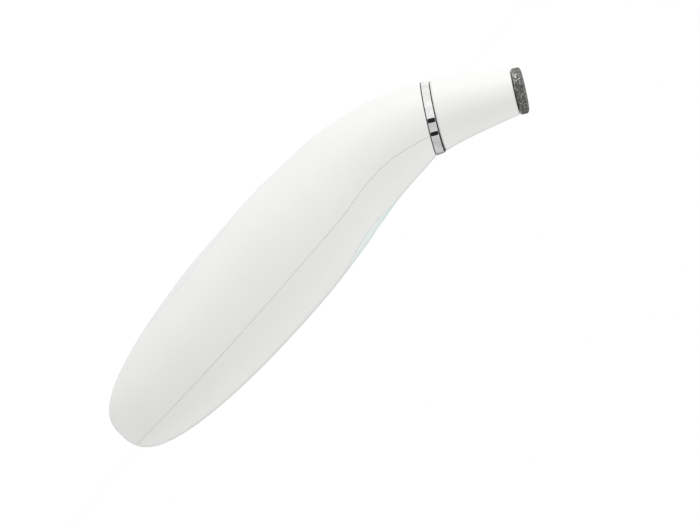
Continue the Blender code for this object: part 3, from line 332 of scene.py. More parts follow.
def flat_square(name, size, z):
    """A level square about the origin."""
    half = size / 2
    corners = np.array([(-1, -1, 0), (1, -1, 0), (1, 1, 0), (-1, 1, 0)]) * half + (0, 0, z)
    mesh = bpy.data.meshes.new(name)
    mesh.from_pydata(corners.tolist(), [], [(0, 1, 2, 3)])
    item = bpy.data.objects.new(name, mesh)
    bpy.context.scene.collection.objects.link(item)
    return item


floor = flat_square("floor", FLOOR_SIZE, -FLOOR_DROP)
floor_finish = Finish("pale_floor", (0.88, 0.88, 0.88), roughness=0.9, specular_ior_level=0.0)
floor_finish.give(emission_color=FLOOR_GLOW * floor_finish.seen(), emission_strength=1.0)
floor.data.materials.append(floor_finish.material)
floor.visible_diffuse = False
floor.visible_glossy = False
floor.visible_shadow = False
print("floor:", FLOOR_SIZE, "m square")

# %% [markdown]
# ## Lamps
#
# Four large round lamps stand a metre away, so their light is soft and has no hard edge. The key
# light is at the top of the picture, the others fill in from the camera, from the tail and from the
# control side. Their strengths were set by rendering each lamp alone and weighing them against the
# tones of the white plastic. In chrome a lamp burns out as a white spot, so reflections don't show
# the lamps, and the room above does that work.

# %% Lamps
LAMP_DISTANCE, LAMP_SIZE = 1.0, 0.80
LAMPS = {
    "key": ((0.72, 0.30, -0.62), 4.35),
    "front": ((0.0, 1.0, 0.0), 1.15),
    "tail": ((-1.0, 0.0, -0.10), 1.40),
    "overhead": ((0.30, -0.10, 0.93), 2.90),
}


def soft_lamp(name, direction, power):
    """A round area lamp that faces the middle of the picture from a direction."""
    data = bpy.data.lights.new(name, "AREA")
    data.shape = "DISK"
    data.size = LAMP_SIZE
    data.energy = power
    lamp = bpy.data.objects.new(name, data)
    way = Vector(direction).normalized()
    place = Matrix.Translation(VIEW_MIDDLE + way * LAMP_DISTANCE)
    lamp.matrix_world = place @ way.to_track_quat("Z", "Y").to_matrix().to_4x4()
    lamp.visible_glossy = False
    bpy.context.scene.collection.objects.link(lamp)


for lamp_name, (direction, power) in LAMPS.items():
    soft_lamp(lamp_name, direction, power)
print("lamps:", ", ".join(LAMPS))

# %% [markdown]
# ## The form of the handle
#
# Both half shells, the back panel, the bezel and the key share one form. It is a row of
# superellipses along a spine, which is straight for most of the length and bends up at the neck.
# The half depth grows from the tail as a blunt power curve and runs down to the neck along a
# softer one. The form could be sculpted or subdivided from a cage. As a few formulas it is smooth
# everywhere, agrees with the CAD, and any piece can ask for any point of it.

# %% Sizes of the form, in metres
HANDLE_LENGTH = 0.1527
BELLY_AT = 0.0800
BELLY_HALF_DEPTH = 0.0214
BELLY_HALF_WIDTH = 0.0204
NECK_RADIUS = 0.01285
TAIL_POWER = 2.15
TAIL_ROUND = 2.95
NECK_POWER = 1.715
BELLY_SQUARE = 2.25
BEND_AT = 0.1170
SPINE_BEND = math.radians(25.1)
LEAN_AT = 0.1225
NECK_LEAN = math.radians(36.5)
LEAN_POWER = 1.67
REST_AT = 0.0760
REST_DEPTH = 0.00035
SPINE_HEIGHT = BELLY_HALF_DEPTH - REST_DEPTH
BEND_RADIUS = (HANDLE_LENGTH - BEND_AT) / SPINE_BEND
print("handle:", HANDLE_LENGTH, "m along the spine and", 2 * BELLY_HALF_DEPTH, "m deep")

# %% [markdown]
# ### Formulas of the form
#
# A section knows its middle, its lean and its two half sizes. A point of the skin then needs only
# the distance from the tail and an angle. The inset moves a section inwards, which gives the inner
# side of the wall. At the tail the skin turns square to the spine, so there the inset works along
# the spine and not across it.

# %% Formulas of the form


def spine(s):
    """Points of the spine s metres from the tail, and how far their sections lean.

    Straight along X, then an arc of constant radius. The lean grows as a power of the way from
    where it starts to the neck."""
    s = np.asarray(s, float)
    bend = np.clip((s - BEND_AT) / BEND_RADIUS, 0, None)
    x = np.minimum(s, BEND_AT) - REST_AT + BEND_RADIUS * np.sin(bend)
    z = SPINE_HEIGHT + BEND_RADIUS * (1 - np.cos(bend))
    share = np.clip((s - LEAN_AT) / (HANDLE_LENGTH - LEAN_AT), 0, 1)
    return x, z, NECK_LEAN * share ** LEAN_POWER


def along_at(x):
    """Distance from the tail of the spine's point at world X."""
    past = np.clip(x + REST_AT - BEND_AT, 0, None)
    return np.minimum(x + REST_AT, BEND_AT) + BEND_RADIUS * np.arcsin(past / BEND_RADIUS)


def half_size(s, belly):
    """Half depth or width: (1 - (1 - s/belly place)^a)^(1/b) before the belly, then belly to neck
    along 1 - share^c."""
    grown = 1 - (1 - np.clip(s / BELLY_AT, 0, 1)) ** TAIL_POWER
    past = np.clip((s - BELLY_AT) / (HANDLE_LENGTH - BELLY_AT), 0, 1)
    front = NECK_RADIUS + (belly - NECK_RADIUS) * (1 - past ** NECK_POWER)
    return np.where(s < BELLY_AT, belly * grown ** (1 / TAIL_ROUND), front)


def tail_slope(s):
    """Angle between skin and spine on the tail side: the arc tangent of the half depth's slope,
    which is a right angle at the very tip."""
    left = 1 - np.clip(s / BELLY_AT, 0, 1)
    rise = BELLY_HALF_DEPTH / TAIL_ROUND * TAIL_POWER / BELLY_AT * left ** (TAIL_POWER - 1)
    return np.arctan2(rise, (1 - left ** TAIL_POWER) ** (1 - 1 / TAIL_ROUND))


def section(s, inset=0.0):
    """Middle, lean, half depth, half width and power of a section whose outline is moved in.

    It moves in by inset x cosine of the slope across the spine, and inset x sine along it."""
    s = np.asarray(s, float)
    slope = tail_slope(s)
    depth = half_size(s, BELLY_HALF_DEPTH) - inset * np.cos(slope)
    width = half_size(s, BELLY_HALF_WIDTH) - inset * np.cos(slope)
    x, z, lean = spine(s)
    past = np.clip((s - BELLY_AT) / (HANDLE_LENGTH - BELLY_AT), 0, 1)
    square = BELLY_SQUARE + (2 - BELLY_SQUARE) * past
    return x + inset * np.sin(slope), z, lean, depth, width, square


def form(s, angle, inset=0.0):
    """Points of the form at an angle that runs from +Y over the control side.

    Across the spine a point is (width x cosine ^ (2 / power), depth x sine ^ (2 / power)), each
    with its sign, and the lean turns the second one into X and Z."""
    x, z, lean, depth, width, square = section(s, inset)
    up = depth * np.sign(np.sin(angle)) * np.abs(np.sin(angle)) ** (2 / square)
    side = width * np.sign(np.cos(angle)) * np.abs(np.cos(angle)) ** (2 / square)
    return np.stack([x - up * np.sin(lean), side, z + up * np.cos(lean)], -1)


def form_level(x, y, inset=0.0, side=1):
    """Height of the form over a point of the plan, on the control side (1) or the back (-1):
    middle +- depth x (1 - (|y| / width) ^ power) ^ (1 / power)."""
    _, z, _, depth, width, square = section(along_at(x), inset)
    share = 1 - np.clip(np.abs(y) / width, 0, 1) ** square
    return z + side * depth * share ** (1 / square)


print("form at the belly:", form(BELLY_AT, np.radians([0.0, 90.0])).round(4).tolist())

# %% [markdown]
# ## From grids of points to pieces
#
# A surface is one or more grids of points. Neighbouring rows and columns make quads, grids that
# share an edge are welded, and the result is one closed skin whose faces point outwards. Screw and
# Solidify modifiers could make such walls, but they can't follow a stepped rim on a bent spine.

# %% Skins
CREASE, TINY = 32.0, 1e-6


def smooth(item, sharp=CREASE):
    """Smooth shading, with the edges sharper than an angle in degrees kept crisp."""
    item.data.shade_smooth()
    item.data.set_sharp_from_angle(angle=math.radians(sharp))


class Skin:
    """Grids of points and odd faces between them, welded into one mesh."""

    def __init__(self):
        self.points, self.faces, self.count = [], [], 0

    def grid(self, points, skin=True):
        """Adds a (rows, columns, 3) array and, if asked, the quads between its points."""
        rows, columns = points.shape[:2]
        numbers = np.arange(rows * columns).reshape(rows, columns) + self.count
        self.points.append(points.reshape(-1, 3))
        self.count += numbers.size
        if skin:
            self.quads(numbers)
        return numbers

    def quads(self, numbers):
        """Each point with its right, lower right and lower neighbour."""
        corners = [numbers[:-1, :-1], numbers[:-1, 1:], numbers[1:, 1:], numbers[1:, :-1]]
        self.faces += np.stack(corners, -1).reshape(-1, 4).tolist()

    def piece(self, name, sharp=CREASE):
        """Welds what touches, drops what has no size and turns the faces outwards."""
        mesh = bpy.data.meshes.new(name)
        mesh.from_pydata(np.concatenate(self.points).tolist(), [], self.faces)
        work = bmesh.new()
        work.from_mesh(mesh)
        bmesh.ops.remove_doubles(work, verts=work.verts, dist=TINY)
        bmesh.ops.dissolve_degenerate(work, edges=work.edges, dist=TINY / 10)
        bmesh.ops.recalc_face_normals(work, faces=work.faces)
        work.to_mesh(mesh)
        work.free()
        item = bpy.data.objects.new(name, mesh)
        bpy.context.scene.collection.objects.link(item)
        smooth(item, sharp)
        return item


print("edges stay crisp above", CREASE, "degrees")

# %% [markdown]
# ### Cutting and dressing
#
# Blender's exact Boolean takes the openings out. It is applied at once, so that no tool is left
# over and the shading can be set on the result. A finished piece then stands for its CAD node: it
# rides on the same body and carries the same material slot.

# %% Cutting and dressing


def cut(item, tools):
    """Takes tools out of a piece with the exact Boolean, applies it and drops the tools."""
    for tool in tools:
        step = item.modifiers.new(tool.name, "BOOLEAN")
        step.operation = "DIFFERENCE"
        step.solver = "EXACT"
        step.object = tool
    bpy.context.view_layer.update()
    result = item.evaluated_get(bpy.context.evaluated_depsgraph_get())
    made = bpy.data.meshes.new_from_object(result)
    item.modifiers.clear()
    item.data = made
    for tool in tools:
        bpy.data.objects.remove(tool, do_unlink=True)
    smooth(item)


def dress(item, node, finish):
    """The piece stands for a CAD node, rides on its body and takes its slot and finish."""
    item.data.materials.clear()
    item.data.materials.append(finish.material)
    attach(item, next(
        b for b, names in frame["record"]["behaviour"]["bodies"].items() if node in names))
    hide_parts(node)
    print(item.name, len(item.data.polygons), "faces")


print("pieces can be cut and dressed")

# %% [markdown]
# ## White moulded plastic
#
# The housing is injection moulded in white plastic with a satin surface: the mould's face is spark
# eroded very finely, so the highlight is broad and soft. A fine noise gives that grain as relief
# and a slow one changes the gloss a little, as real mouldings do where the wall's thickness
# changes. One flat colour and gloss would be simpler, but they look like a drawing. The colour
# still barely moves, because any strong pattern would look like dirt.

# %% White plastic


def moulded_white(name, colour, shade, rough, grain_depth):
    """Satin moulded plastic: slow change of gloss and tone, fine eroded grain."""
    finish = Finish(name, colour, specular_ior_level=0.42)
    slow = finish.noise(38.0, 2.0)
    fine = finish.noise(5200.0, 2.0, roughness=0.6)
    finish.give(base_color=finish.blend(slow.above(0.35, 0.7), colour, shade),
                roughness=rough + 0.05 * slow + 0.05 * fine)
    return finish.relief(fine, grain_depth)


white = moulded_white("white_plastic", (0.880, 0.876, 0.858), (0.866, 0.864, 0.848),
                      0.30, 0.000006)
panel_white = moulded_white("panel_plastic", (0.868, 0.868, 0.864), (0.856, 0.857, 0.855),
                            0.36, 0.000008)
print("white finishes made")

# %% [markdown]
# ## The two half shells
#
# The housing is two moulded shells that meet along a seam on both sides. Seen from the side, the
# seam runs out towards the tail and closes round it, and at the neck it drops in a soft S. One
# could slice a solid handle in two, but the cut would leave flat walls. Here the seam is a height
# above the spine, and each shell is laid out up to that height from the start.

# %% Seam
SEAM_TAIL, SEAM_BELLY, SEAM_NECK = 0.0053, 0.0078, 0.0054
SEAM_DROP = (0.1030, 0.1375)
STATIONS, STATION_PACKING, FINE_STEPS = 150, 1.9, 4001


def seam(s):
    """Height of the seam above the spine: up along a parabola to the belly, then down in an S."""
    rise = 1 - (1 - np.clip(s / BELLY_AT, 0, 1)) ** 2
    share = np.clip((s - SEAM_DROP[0]) / (SEAM_DROP[1] - SEAM_DROP[0]), 0, 1)
    drop = share * share * (3 - 2 * share)
    return SEAM_TAIL + (SEAM_BELLY - SEAM_TAIL) * rise - (SEAM_BELLY - SEAM_NECK) * drop


def rim_stations(inset, height):
    """Distances from the tail, packed towards the rim's start, and the angle of the rim there.

    The rim starts where the half depth first reaches the seam's height. Its angle is the arc sine
    of (seam height / half depth) ^ (power / 2)."""
    s = np.linspace(0, BELLY_AT / 2, FINE_STEPS)
    start = float(np.interp(0.0, section(s, inset)[3] - seam(s) - height, s))
    share = np.arange(STATIONS + 1) / STATIONS
    s = start + (HANDLE_LENGTH - start) * share ** STATION_PACKING
    _, _, _, depth, _, square = section(s, inset)
    share = np.clip((seam(s) + height) / np.maximum(depth, TINY), 0, 1)
    angle = np.arcsin(share ** (square / 2))
    angle[0] = math.pi / 2
    return start, s, angle


print("seam above the spine:", [round(float(seam(s)), 5) for s in (0.0, BELLY_AT, HANDLE_LENGTH)])

# %% [markdown]
# ### One shell as a closed skin
#
# The edges of real shells are stepped, one lip inside the other, which locates them and hides the
# light inside. Each shell is an outer patch, an inner patch and the strips of the stepped rim
# between them. The outer edge is rounded very slightly, as a mould leaves it, and that is what
# draws the thin seam in the photograph.

# %% Shell surfaces
GAP, WALL = 0.0003, 0.0024
LIP, SEAM_OPEN, SEAM_ROUND = 0.0012, 0.00005, 0.00008
OUTER_COLUMNS, INNER_COLUMNS = 84, 36
LEAD_ROWS, LEAD_PACKING = 14, 2.6


def half_shell(name, front):
    """Closed skin of one shell: outer patch, inner patch, stepped rim and the ring at the neck.

    The rim's profile is a list of (inset from the skin, height above the seam)."""
    side = 1 if front else -1
    step = WALL / 2 + side * GAP / 2
    deep = -LIP if front else -LIP - GAP
    rim = [(SEAM_ROUND * (1 - math.cos(t)), side * (SEAM_OPEN / 2 + SEAM_ROUND * (1 - math.sin(t))))
           for t in np.linspace(0, math.pi / 2, 4)]
    rim += [(step, side * SEAM_OPEN / 2), (step, deep), (WALL, deep)]
    skin = Skin()

    def patch(inset, height, columns):
        start, s, angle = rim_stations(inset, height)
        if not front:
            lead = start * (np.arange(LEAD_ROWS) / LEAD_ROWS) ** LEAD_PACKING
            s = np.concatenate([lead, s])
            angle = np.concatenate([0 * lead + math.pi / 2, angle])
        sweep = side * math.pi - 2 * angle
        angles = angle[:, None] + sweep[:, None] * np.linspace(0, 1, columns + 1)
        return skin.grid(form(s[:, None], angles, inset))

    outer = patch(*rim[0], OUTER_COLUMNS)
    inner = patch(*rim[-1], INNER_COLUMNS)
    strips = []
    for inset, height in rim:
        _, s, angle = rim_stations(inset, height)
        both = np.stack([form(s, angle, inset), form(s, math.pi - angle, inset)])
        strips.append(skin.grid(both, skin=False))
    for first, second in zip(strips, strips[1:]):
        skin.quads(np.stack([first[0], second[0]]))
        skin.quads(np.stack([first[1], second[1]]))
    end = outer[-1].tolist() + [strip[1][-1] for strip in strips[1:-1]]
    end += inner[-1][::-1].tolist() + [strip[0][-1] for strip in strips[-2:0:-1]]
    skin.faces.append([int(v) for v in end])
    return skin.piece(name)


print("each rim has", STATIONS, "stations")

# %% [markdown]
# ### Ovals that follow the form
#
# Pocket, window and key hole are ovals in a curved skin. A straight cutter would leave their depth
# uneven, so each tool is a stack of ovals whose height comes from the form itself. The same stack
# makes the round posts inside: the bosses for the chassis screws, and the four posts that hold the
# board.

# %% Ovals that follow the form
CHAMFER = 0.00012


def grown(size):
    """A size with the clearance all round."""
    return tuple(v + GAP for v in size)


def under(inset, side=1):
    """A height function: the form moved in by inset, on one side."""
    return lambda x, y: form_level(x, y, inset, side)


def level_at(z):
    """A height function: the same height everywhere."""
    return lambda x, y: z + 0 * x


def oval_stack(name, middle, layers, segments=96, side=0.0):
    """Ovals over one middle of the plan: each layer is (half length, half width, height function).

    A point is the middle plus (half length x cosine, half width x sine) of its angle."""
    angle = np.linspace(0, 2 * math.pi, segments + 1)
    rows = []
    for half_length, half_width, height in layers:
        x = middle - REST_AT + half_length * np.cos(angle)
        y = side + half_width * np.sin(angle)
        rows.append(np.stack([x, y, height(x, y)], -1))
    skin = Skin()
    skin.grid(np.stack(rows))
    return skin.piece(name)


def rings(half_length, half_width, height, shares):
    """Ovals of one height function at shares of the full size."""
    return [(half_length * k, half_width * k, height) for k in shares]


def opening(name, middle, size, low, high, side=1, segments=96):
    """Tool for an oval hole whose edge has a small chamfer where it meets the skin."""
    a, b = size
    wide = (a + CHAMFER, b + CHAMFER)
    layers = rings(a, b, low, (0, 0.5, 1)) + [(a, b, under(CHAMFER, side))]
    layers += [(*wide, under(0.0, side)), (*wide, high)] + rings(a, b, high, (0.5, 0))
    return oval_stack(name, middle, layers, segments)


print("pocket edges have a chamfer of", CHAMFER, "m")

# %% [markdown]
# ### Posts and bosses
#
# A moulded post grows out of the wall, and its foot is hidden in it. So a post starts inside the
# wall's thickness, follows the form there, and ends flat. It is added to the shell's own mesh as it
# is. A Boolean union would weld it, but nobody sees the foot, and the shell's faces stay even.

# %% Posts


def post(name, middle, side, radius, end, face, bore=None):
    """Round post from inside the wall to the height end, on the front (1) or the back (-1)."""
    root = under(WALL / 2, face)
    layers = [(0, 0, root), (radius, radius, root), (radius, radius, level_at(end))]
    if bore:
        hole, bottom = bore
        layers += [(hole, hole, level_at(end)), (hole, hole, level_at(bottom))]
        layers += [(0, 0, level_at(bottom))]
    else:
        layers += [(0, 0, level_at(end))]
    return oval_stack(name, middle, layers, 24, side)


def merge(item, others):
    """Adds other meshes to a piece's own mesh, as they are."""
    work = bmesh.new()
    for each in [item, *others]:
        work.from_mesh(each.data)
    work.to_mesh(item.data)
    work.free()
    for each in others:
        bpy.data.objects.remove(each, do_unlink=True)
    smooth(item)


print("posts start in the middle of a wall of", WALL, "m")

# %% [markdown]
# ### Back shell
#
# The larger half. It has a shallow oval pocket for the back panel, the mouth of the charging socket
# at the tail, and four bosses that carry the chassis. Panel and socket are pieces of their own, so
# their places are cut as openings with the clearance that a moulder leaves.

# %% Places in the back shell
PANEL_AT, PANEL_SIZE, PANEL_THICKNESS = 0.0618, (0.0370, 0.0098), 0.0010
PAST = 0.0040
PLATE_LOW = 0.0044
SCREW_PLACES = (0.0699, 0.1195)
SCREW_FROM_WALL, SCREW_LENGTH, SCREW_RADIUS, BOSS_RADIUS = 0.0055, 0.0080, 0.0010, 0.0025
SOCKET_SIZE, SOCKET_DROP = (0.00445, 0.0016), 0.0010


def wall_side(s, z, inset):
    """Half width of the form at a height: width x (1 - (height / depth) ^ power) ^ (1 / power)."""
    _, middle, _, depth, width, square = section(s, inset)
    return width * (1 - np.clip(np.abs(z - middle) / depth, 0, 1) ** square) ** (1 / square)


def stadium_tube(name, half_length, half_width, height, x0, x1):
    """Solid bar along X whose section (y, z) has round ends: two half circles, moved apart."""
    steps = 20
    right = np.linspace(-math.pi / 2, math.pi / 2, steps)
    angle = np.concatenate([right, right + math.pi, right[:1]])
    apart = half_length - half_width
    shift = np.where(np.arange(angle.size) % (2 * steps) < steps, apart, -apart)
    y, z = shift + half_width * np.cos(angle), height + half_width * np.sin(angle)
    ends = ((x0, 0), (x0, 1), (x1, 1), (x1, 0))
    rows = [np.stack([x + 0 * y, y * k, height + (z - height) * k], -1) for x, k in ends]
    skin = Skin()
    skin.grid(np.stack(rows))
    return skin.piece(name)


print("screws from the tail:", SCREW_PLACES)

# %% [markdown]
# ### Skin, cuts and bosses of the back shell
#
# The skin comes first, then the cuts, then the bosses. The bosses could be there before the cuts,
# but the Boolean would then weld their hidden feet to the wall and break its even faces.

# %% Back shell
back = half_shell("back_shell_skin", front=False)
pocket_floor, outside = under(PANEL_THICKNESS + GAP, -1), under(-PAST, -1)
mouth_span = (-REST_AT - PAST, -REST_AT + 2 * WALL)
cut(back, [
    opening("pocket", PANEL_AT, grown(PANEL_SIZE), pocket_floor, outside, side=-1),
    stadium_tube("mouth", *grown(SOCKET_SIZE), SPINE_HEIGHT - SOCKET_DROP, *mouth_span)])
plate = SPINE_HEIGHT - PLATE_LOW
boss_top = plate - GAP
boss_bore = (SCREW_RADIUS + GAP, boss_top - SCREW_LENGTH - GAP)
bosses = []
for s in SCREW_PLACES:
    reach = float(wall_side(s, plate, WALL)) - SCREW_FROM_WALL
    bosses += [post("boss", s, side, BOSS_RADIUS, boss_top, -1, boss_bore)
               for side in (reach, -reach)]
merge(back, bosses)
dress(back, "back_shell", white)

# %% [markdown]
# ### Front shell
#
# The half with the controls. Its oval opening takes the translucent bezel, and four posts inside
# hold the board against it. The window is cut right through the wall, since the bezel's flange
# closes it from inside.

# %% Front shell
BEZEL_AT, BEZEL_SIZE, BEZEL_THICKNESS = 0.1080, (0.0155, 0.0088), 0.0016
BOARD_SPAN, BOARD_LOW, BOARD_THICKNESS = (0.0905, 0.1250), 0.0104, 0.0016
POST_INSET, POST_SIDE, POST_RADIUS = 0.0025, 0.0075, 0.0014
THROUGH = (under(3 * WALL), under(-WALL))

front = half_shell("front_shell_skin", front=True)
cut(front, [opening("window", BEZEL_AT, grown(BEZEL_SIZE), *THROUGH)])
board_top = SPINE_HEIGHT + BOARD_LOW + BOARD_THICKNESS
posts = [post("post", s, side, POST_RADIUS, board_top + GAP, 1)
         for s in (BOARD_SPAN[0] + POST_INSET, BOARD_SPAN[1] - POST_INSET)
         for side in (POST_SIDE, -POST_SIDE)]
merge(front, posts)
dress(front, "front_shell", white)

# %% [markdown]
# ### Back panel
#
# A thin inlay that lies flush in the pocket. It follows the form and is cut flat in the middle,
# where the device rests. Its edge is rounded, which draws the faint oval line. A line could be
# painted into the shell instead, but only real edges catch the light from every side.

# %% Back panel
EDGE = 0.00015
INLAY_RINGS = (0.97, 0.9, 0.75, 0.6, 0.45, 0.3, 0.15, 0)


def inlay_layers(size, thickness, side, inner=(0, 0.5), outer=INLAY_RINGS):
    """Layers of a plate that follows the form, with a small round edge at the surface.

    The edge is a quarter circle: in by EDGE (1 - cos), down by EDGE (1 - sin)."""
    a, b = size
    layers = rings(a, b, under(thickness, side), (*inner, 1))
    for t in np.linspace(0, math.pi / 2, 4):
        inward = EDGE * (1 - math.cos(t))
        layers.append((a - inward, b - inward, under(EDGE * (1 - math.sin(t)), side)))
    return layers + rings(a - EDGE, b - EDGE, under(0.0, side), outer)


panel = oval_stack("back_panel_inlay", PANEL_AT, inlay_layers(PANEL_SIZE, PANEL_THICKNESS, -1), 144)
points = np.empty(len(panel.data.vertices) * 3)
panel.data.vertices.foreach_get("co", points)
points[2::3] = np.maximum(points[2::3], 0.0)
panel.data.vertices.foreach_set("co", points)
smooth(panel)
dress(panel, "back_panel", panel_white)

# %% [markdown]
# ## Teal plastic
#
# The control panel is a translucent teal inlay. In the photograph the side of it shows three
# tones: full teal at the key, pale teal in the middle, and a greyer blue towards the tail, all
# paler at the rim, where the plastic is thin. One gradient along the handle gives them to all three
# pieces. Real transmission would need the light inside to be modelled and renders with much noise,
# so the tone that comes out at the surface is given as colour.

# %% Teal finish
TEAL_START, TEAL_LENGTH, TEAL_RIM = 0.0165, 0.0310, (0.0030, 0.0068)
TEAL_MIDDLE = [(0.0, (0.78, 0.83, 0.86)), (0.35, (0.77, 0.87, 0.87)), (0.62, (0.72, 0.88, 0.86)),
               (1.0, (0.68, 0.87, 0.845))]
TEAL_BORDER = [(0.0, (0.84, 0.865, 0.88)), (0.45, (0.865, 0.915, 0.90)), (1.0, (0.82, 0.90, 0.88))]
FROST = (0.9, 0.95, 0.95)


def teal(name, rough, frost):
    """Tinted plastic: colour along X, paler towards the rim, faint haze, thin clear coat."""
    finish = Finish(name, (0.6, 0.88, 0.86), coat_weight=0.04, coat_roughness=0.30,
                    specular_ior_level=0.22)
    where = finish.where()
    x, y = finish.parts(where, 0), finish.parts(where, 1)
    haze = finish.noise(420.0, 3.0)
    share = (x - TEAL_START) / TEAL_LENGTH + 0.06 * (haze - 0.5)
    middle, border = (finish.add("ShaderNodeValToRGB", {"stops": stops}, {"Fac": share})
                      for stops in (TEAL_MIDDLE, TEAL_BORDER))
    tint = finish.blend(y.maths("ABSOLUTE", y).above(*TEAL_RIM), middle, border)
    finish.give(base_color=finish.blend(0.6, tint, FROST) if frost else tint,
                roughness=rough + 0.06 * haze)
    return finish.relief(finish.noise(2600.0), 0.000004)


teal_clear = teal("teal_lens", 0.40, frost=False)
teal_frost = teal("frosted_lens", 0.48, frost=True)
print("teal runs over", TEAL_LENGTH, "m")

# %% [markdown]
# ## Control bezel
#
# The oval inlay itself. Its middle is thin, so that the charge light gets through. Round that a
# skirt runs inwards through the shell's wall and steps out into a flange under it, so the inlay
# can't come out through the window. The whole profile is one stack of ovals. The holes for key and
# lens are then cut as openings, with their small chamfers.

# %% Control bezel
FLANGE, FLANGE_THICKNESS, SKIRT = 0.0012, 0.0008, 0.85
KEY_AT, KEY_RADIUS = 0.1120, 0.0036
LENS_AT, LENS_SIZE = 0.1010, (0.0038, 0.0013)

a, b = BEZEL_SIZE
flange = (a + FLANGE, b + FLANGE)
shelf, deep = under(WALL + GAP), under(WALL + GAP + FLANGE_THICKNESS)
layers = rings(a, b, under(BEZEL_THICKNESS), (0, 0.45, SKIRT)) + rings(a, b, deep, (SKIRT,))
layers += [(*flange, deep), (*flange, shelf)]
layers += inlay_layers(BEZEL_SIZE, WALL + GAP, 1, inner=())
bezel = oval_stack("control_bezel_inlay", BEZEL_AT, layers, 128)
cut(bezel, [
    opening("key_hole", KEY_AT, grown((KEY_RADIUS, KEY_RADIUS)), *THROUGH, segments=72),
    opening("slot_hole", LENS_AT, grown(LENS_SIZE), *THROUGH, segments=64)])
dress(bezel, "control_bezel", teal_clear)

# %% [markdown]
# ### Indicator lens
#
# A small frosted oval that spreads the charge light. A bare disc would do from far away, but its
# flat top would stand out of the curved inlay. It is the same kind of piece as the back panel, only
# small, so the same layers make it.

# %% Indicator lens
lens_layers = inlay_layers(LENS_SIZE, BEZEL_THICKNESS, 1, outer=(0.8, 0.4, 0))
lens = oval_stack("indicator_lens_inlay", LENS_AT, lens_layers, 64)
dress(lens, "indicator_lens", teal_frost)

# %% [markdown]
# ### Power key
#
# A round key with a flange that keeps it in the bezel and a stem that reaches the switch. Its top
# follows the form and is dished a little, so that a finger finds it. A turned body would be
# simpler, but its rim would be level and not flush. As a stack of ovals it takes its height from
# the form. The stem ends just over one key travel above the switch's plunger.

# %% Power key
KEY_FLANGE, KEY_STEM, KEY_TRAVEL = 0.0010, 0.0014, 0.0006
KEY_EDGE, KEY_DISH, DISH_SHARE = 0.0003, 0.00025, 0.88
SWITCH_HEIGHT, PLUNGER_HEIGHT, SLIM = 0.0022, 0.0008, 0.00015

r, wide = KEY_RADIUS, KEY_RADIUS + KEY_FLANGE
high, low = under(BEZEL_THICKNESS + GAP), under(BEZEL_THICKNESS + GAP + FLANGE_THICKNESS)
stem = level_at(board_top + GAP + SWITCH_HEIGHT + PLUNGER_HEIGHT + KEY_TRAVEL + SLIM)
layers = [(0, 0, stem), (KEY_STEM, KEY_STEM, stem), (KEY_STEM, KEY_STEM, low), (wide, wide, low),
          (wide, wide, high), (r, r, high)]
for t in np.linspace(0, math.pi / 2, 5):
    inward = KEY_EDGE * (1 - math.cos(t))
    layers.append((r - inward, r - inward, under(KEY_EDGE * (1 - math.sin(t)))))
for share in np.linspace(DISH_SHARE, 0, 12):
    dish = KEY_DISH * (1 - (share / DISH_SHARE) ** 2) ** 1.2
    layers.append((share * r, share * r, under(dish)))
key = oval_stack("power_key", KEY_AT, layers, 72)
dress(key, "power_button", teal_clear)

# %% [markdown]
# ## Along the head's axis
#
# Ring, gasket, head and tip are turned about the axis of the head, which leans with the neck. The
# head is an oblique cone: its sections stay square to the axis, while their middles move away
# from the control side. A profile point is therefore (along, radius, shift). The Screw modifier
# turns a profile too, but it has no shift.

# %% Turned surfaces on the neck
neck_x, neck_z, neck_lean = (float(v) for v in spine(HANDLE_LENGTH))
ALONG = np.array([math.cos(neck_lean), 0.0, math.sin(neck_lean)])
FRONT = np.array([-math.sin(neck_lean), 0.0, math.cos(neck_lean)])
ACROSS = np.array([0.0, 1.0, 0.0])
NECK = np.array([neck_x, 0.0, neck_z])


def turned_grid(profile, segments):
    """Circles about the neck's axis, one for each profile point (along, radius, shift).

    A point is neck + along x axis + (shift + radius cos) x front - radius sin x across."""
    table = np.array([(*p, 0.0)[:3] for p in profile])
    angle = np.linspace(0, 2 * math.pi, segments + 1)
    up = table[:, 2:3] + table[:, 1:2] * np.cos(angle)
    side = -table[:, 1:2] * np.sin(angle) + 0 * up
    along = table[:, 0:1] + 0 * up
    return NECK + along[..., None] * ALONG + up[..., None] * FRONT + side[..., None] * ACROSS


def turned(name, profile, segments):
    """A profile that closes on itself, turned into a ring."""
    skin = Skin()
    skin.grid(turned_grid([*profile, profile[0]], segments))
    return skin.piece(name)


def round_edge(along, radius, size, start, end, steps, shift=0.0):
    """Profile points of an arc about (along, radius), angles in degrees from the axis."""
    turns = np.radians(np.linspace(start, end, steps + 1))
    return [(along + size * math.cos(t), radius + size * math.sin(t), shift) for t in turns]


print("neck at", NECK.round(4).tolist(), "lean", round(math.degrees(neck_lean), 1))

# %% [markdown]
# ## Chrome and rubber
#
# The ring is chromed and was brushed round its axis, so its gloss is drawn out along fine lines and
# clouded a little by handling. The gasket and the seals are soft rubber: dull, with a dusty bloom.
# The shader's anisotropy could draw the brushing too, but an exported model doesn't keep it. Both
# finishes are therefore noise, stretched for the chrome and even for the rubber.

# %% Chrome and rubber


def chrome_finish():
    """Chrome that was brushed round the axis: fine lines in roughness and relief."""
    finish = Finish("chrome", (0.78, 0.78, 0.775), metallic=1.0)
    place = finish.turned_to(tuple(NECK), neck_lean)
    lines = finish.noise(1.0, 2.0, finish.stretched((60.0, 60.0, 5200.0), place))
    cloud = finish.noise(240.0, 3.0, place)
    tint = finish.blend(cloud.above(0.35, 0.7), (0.70, 0.70, 0.69), (0.84, 0.84, 0.835))
    finish.give(base_color=tint, roughness=0.20 + 0.12 * lines + 0.06 * cloud)
    return finish.relief(lines, 0.000004)


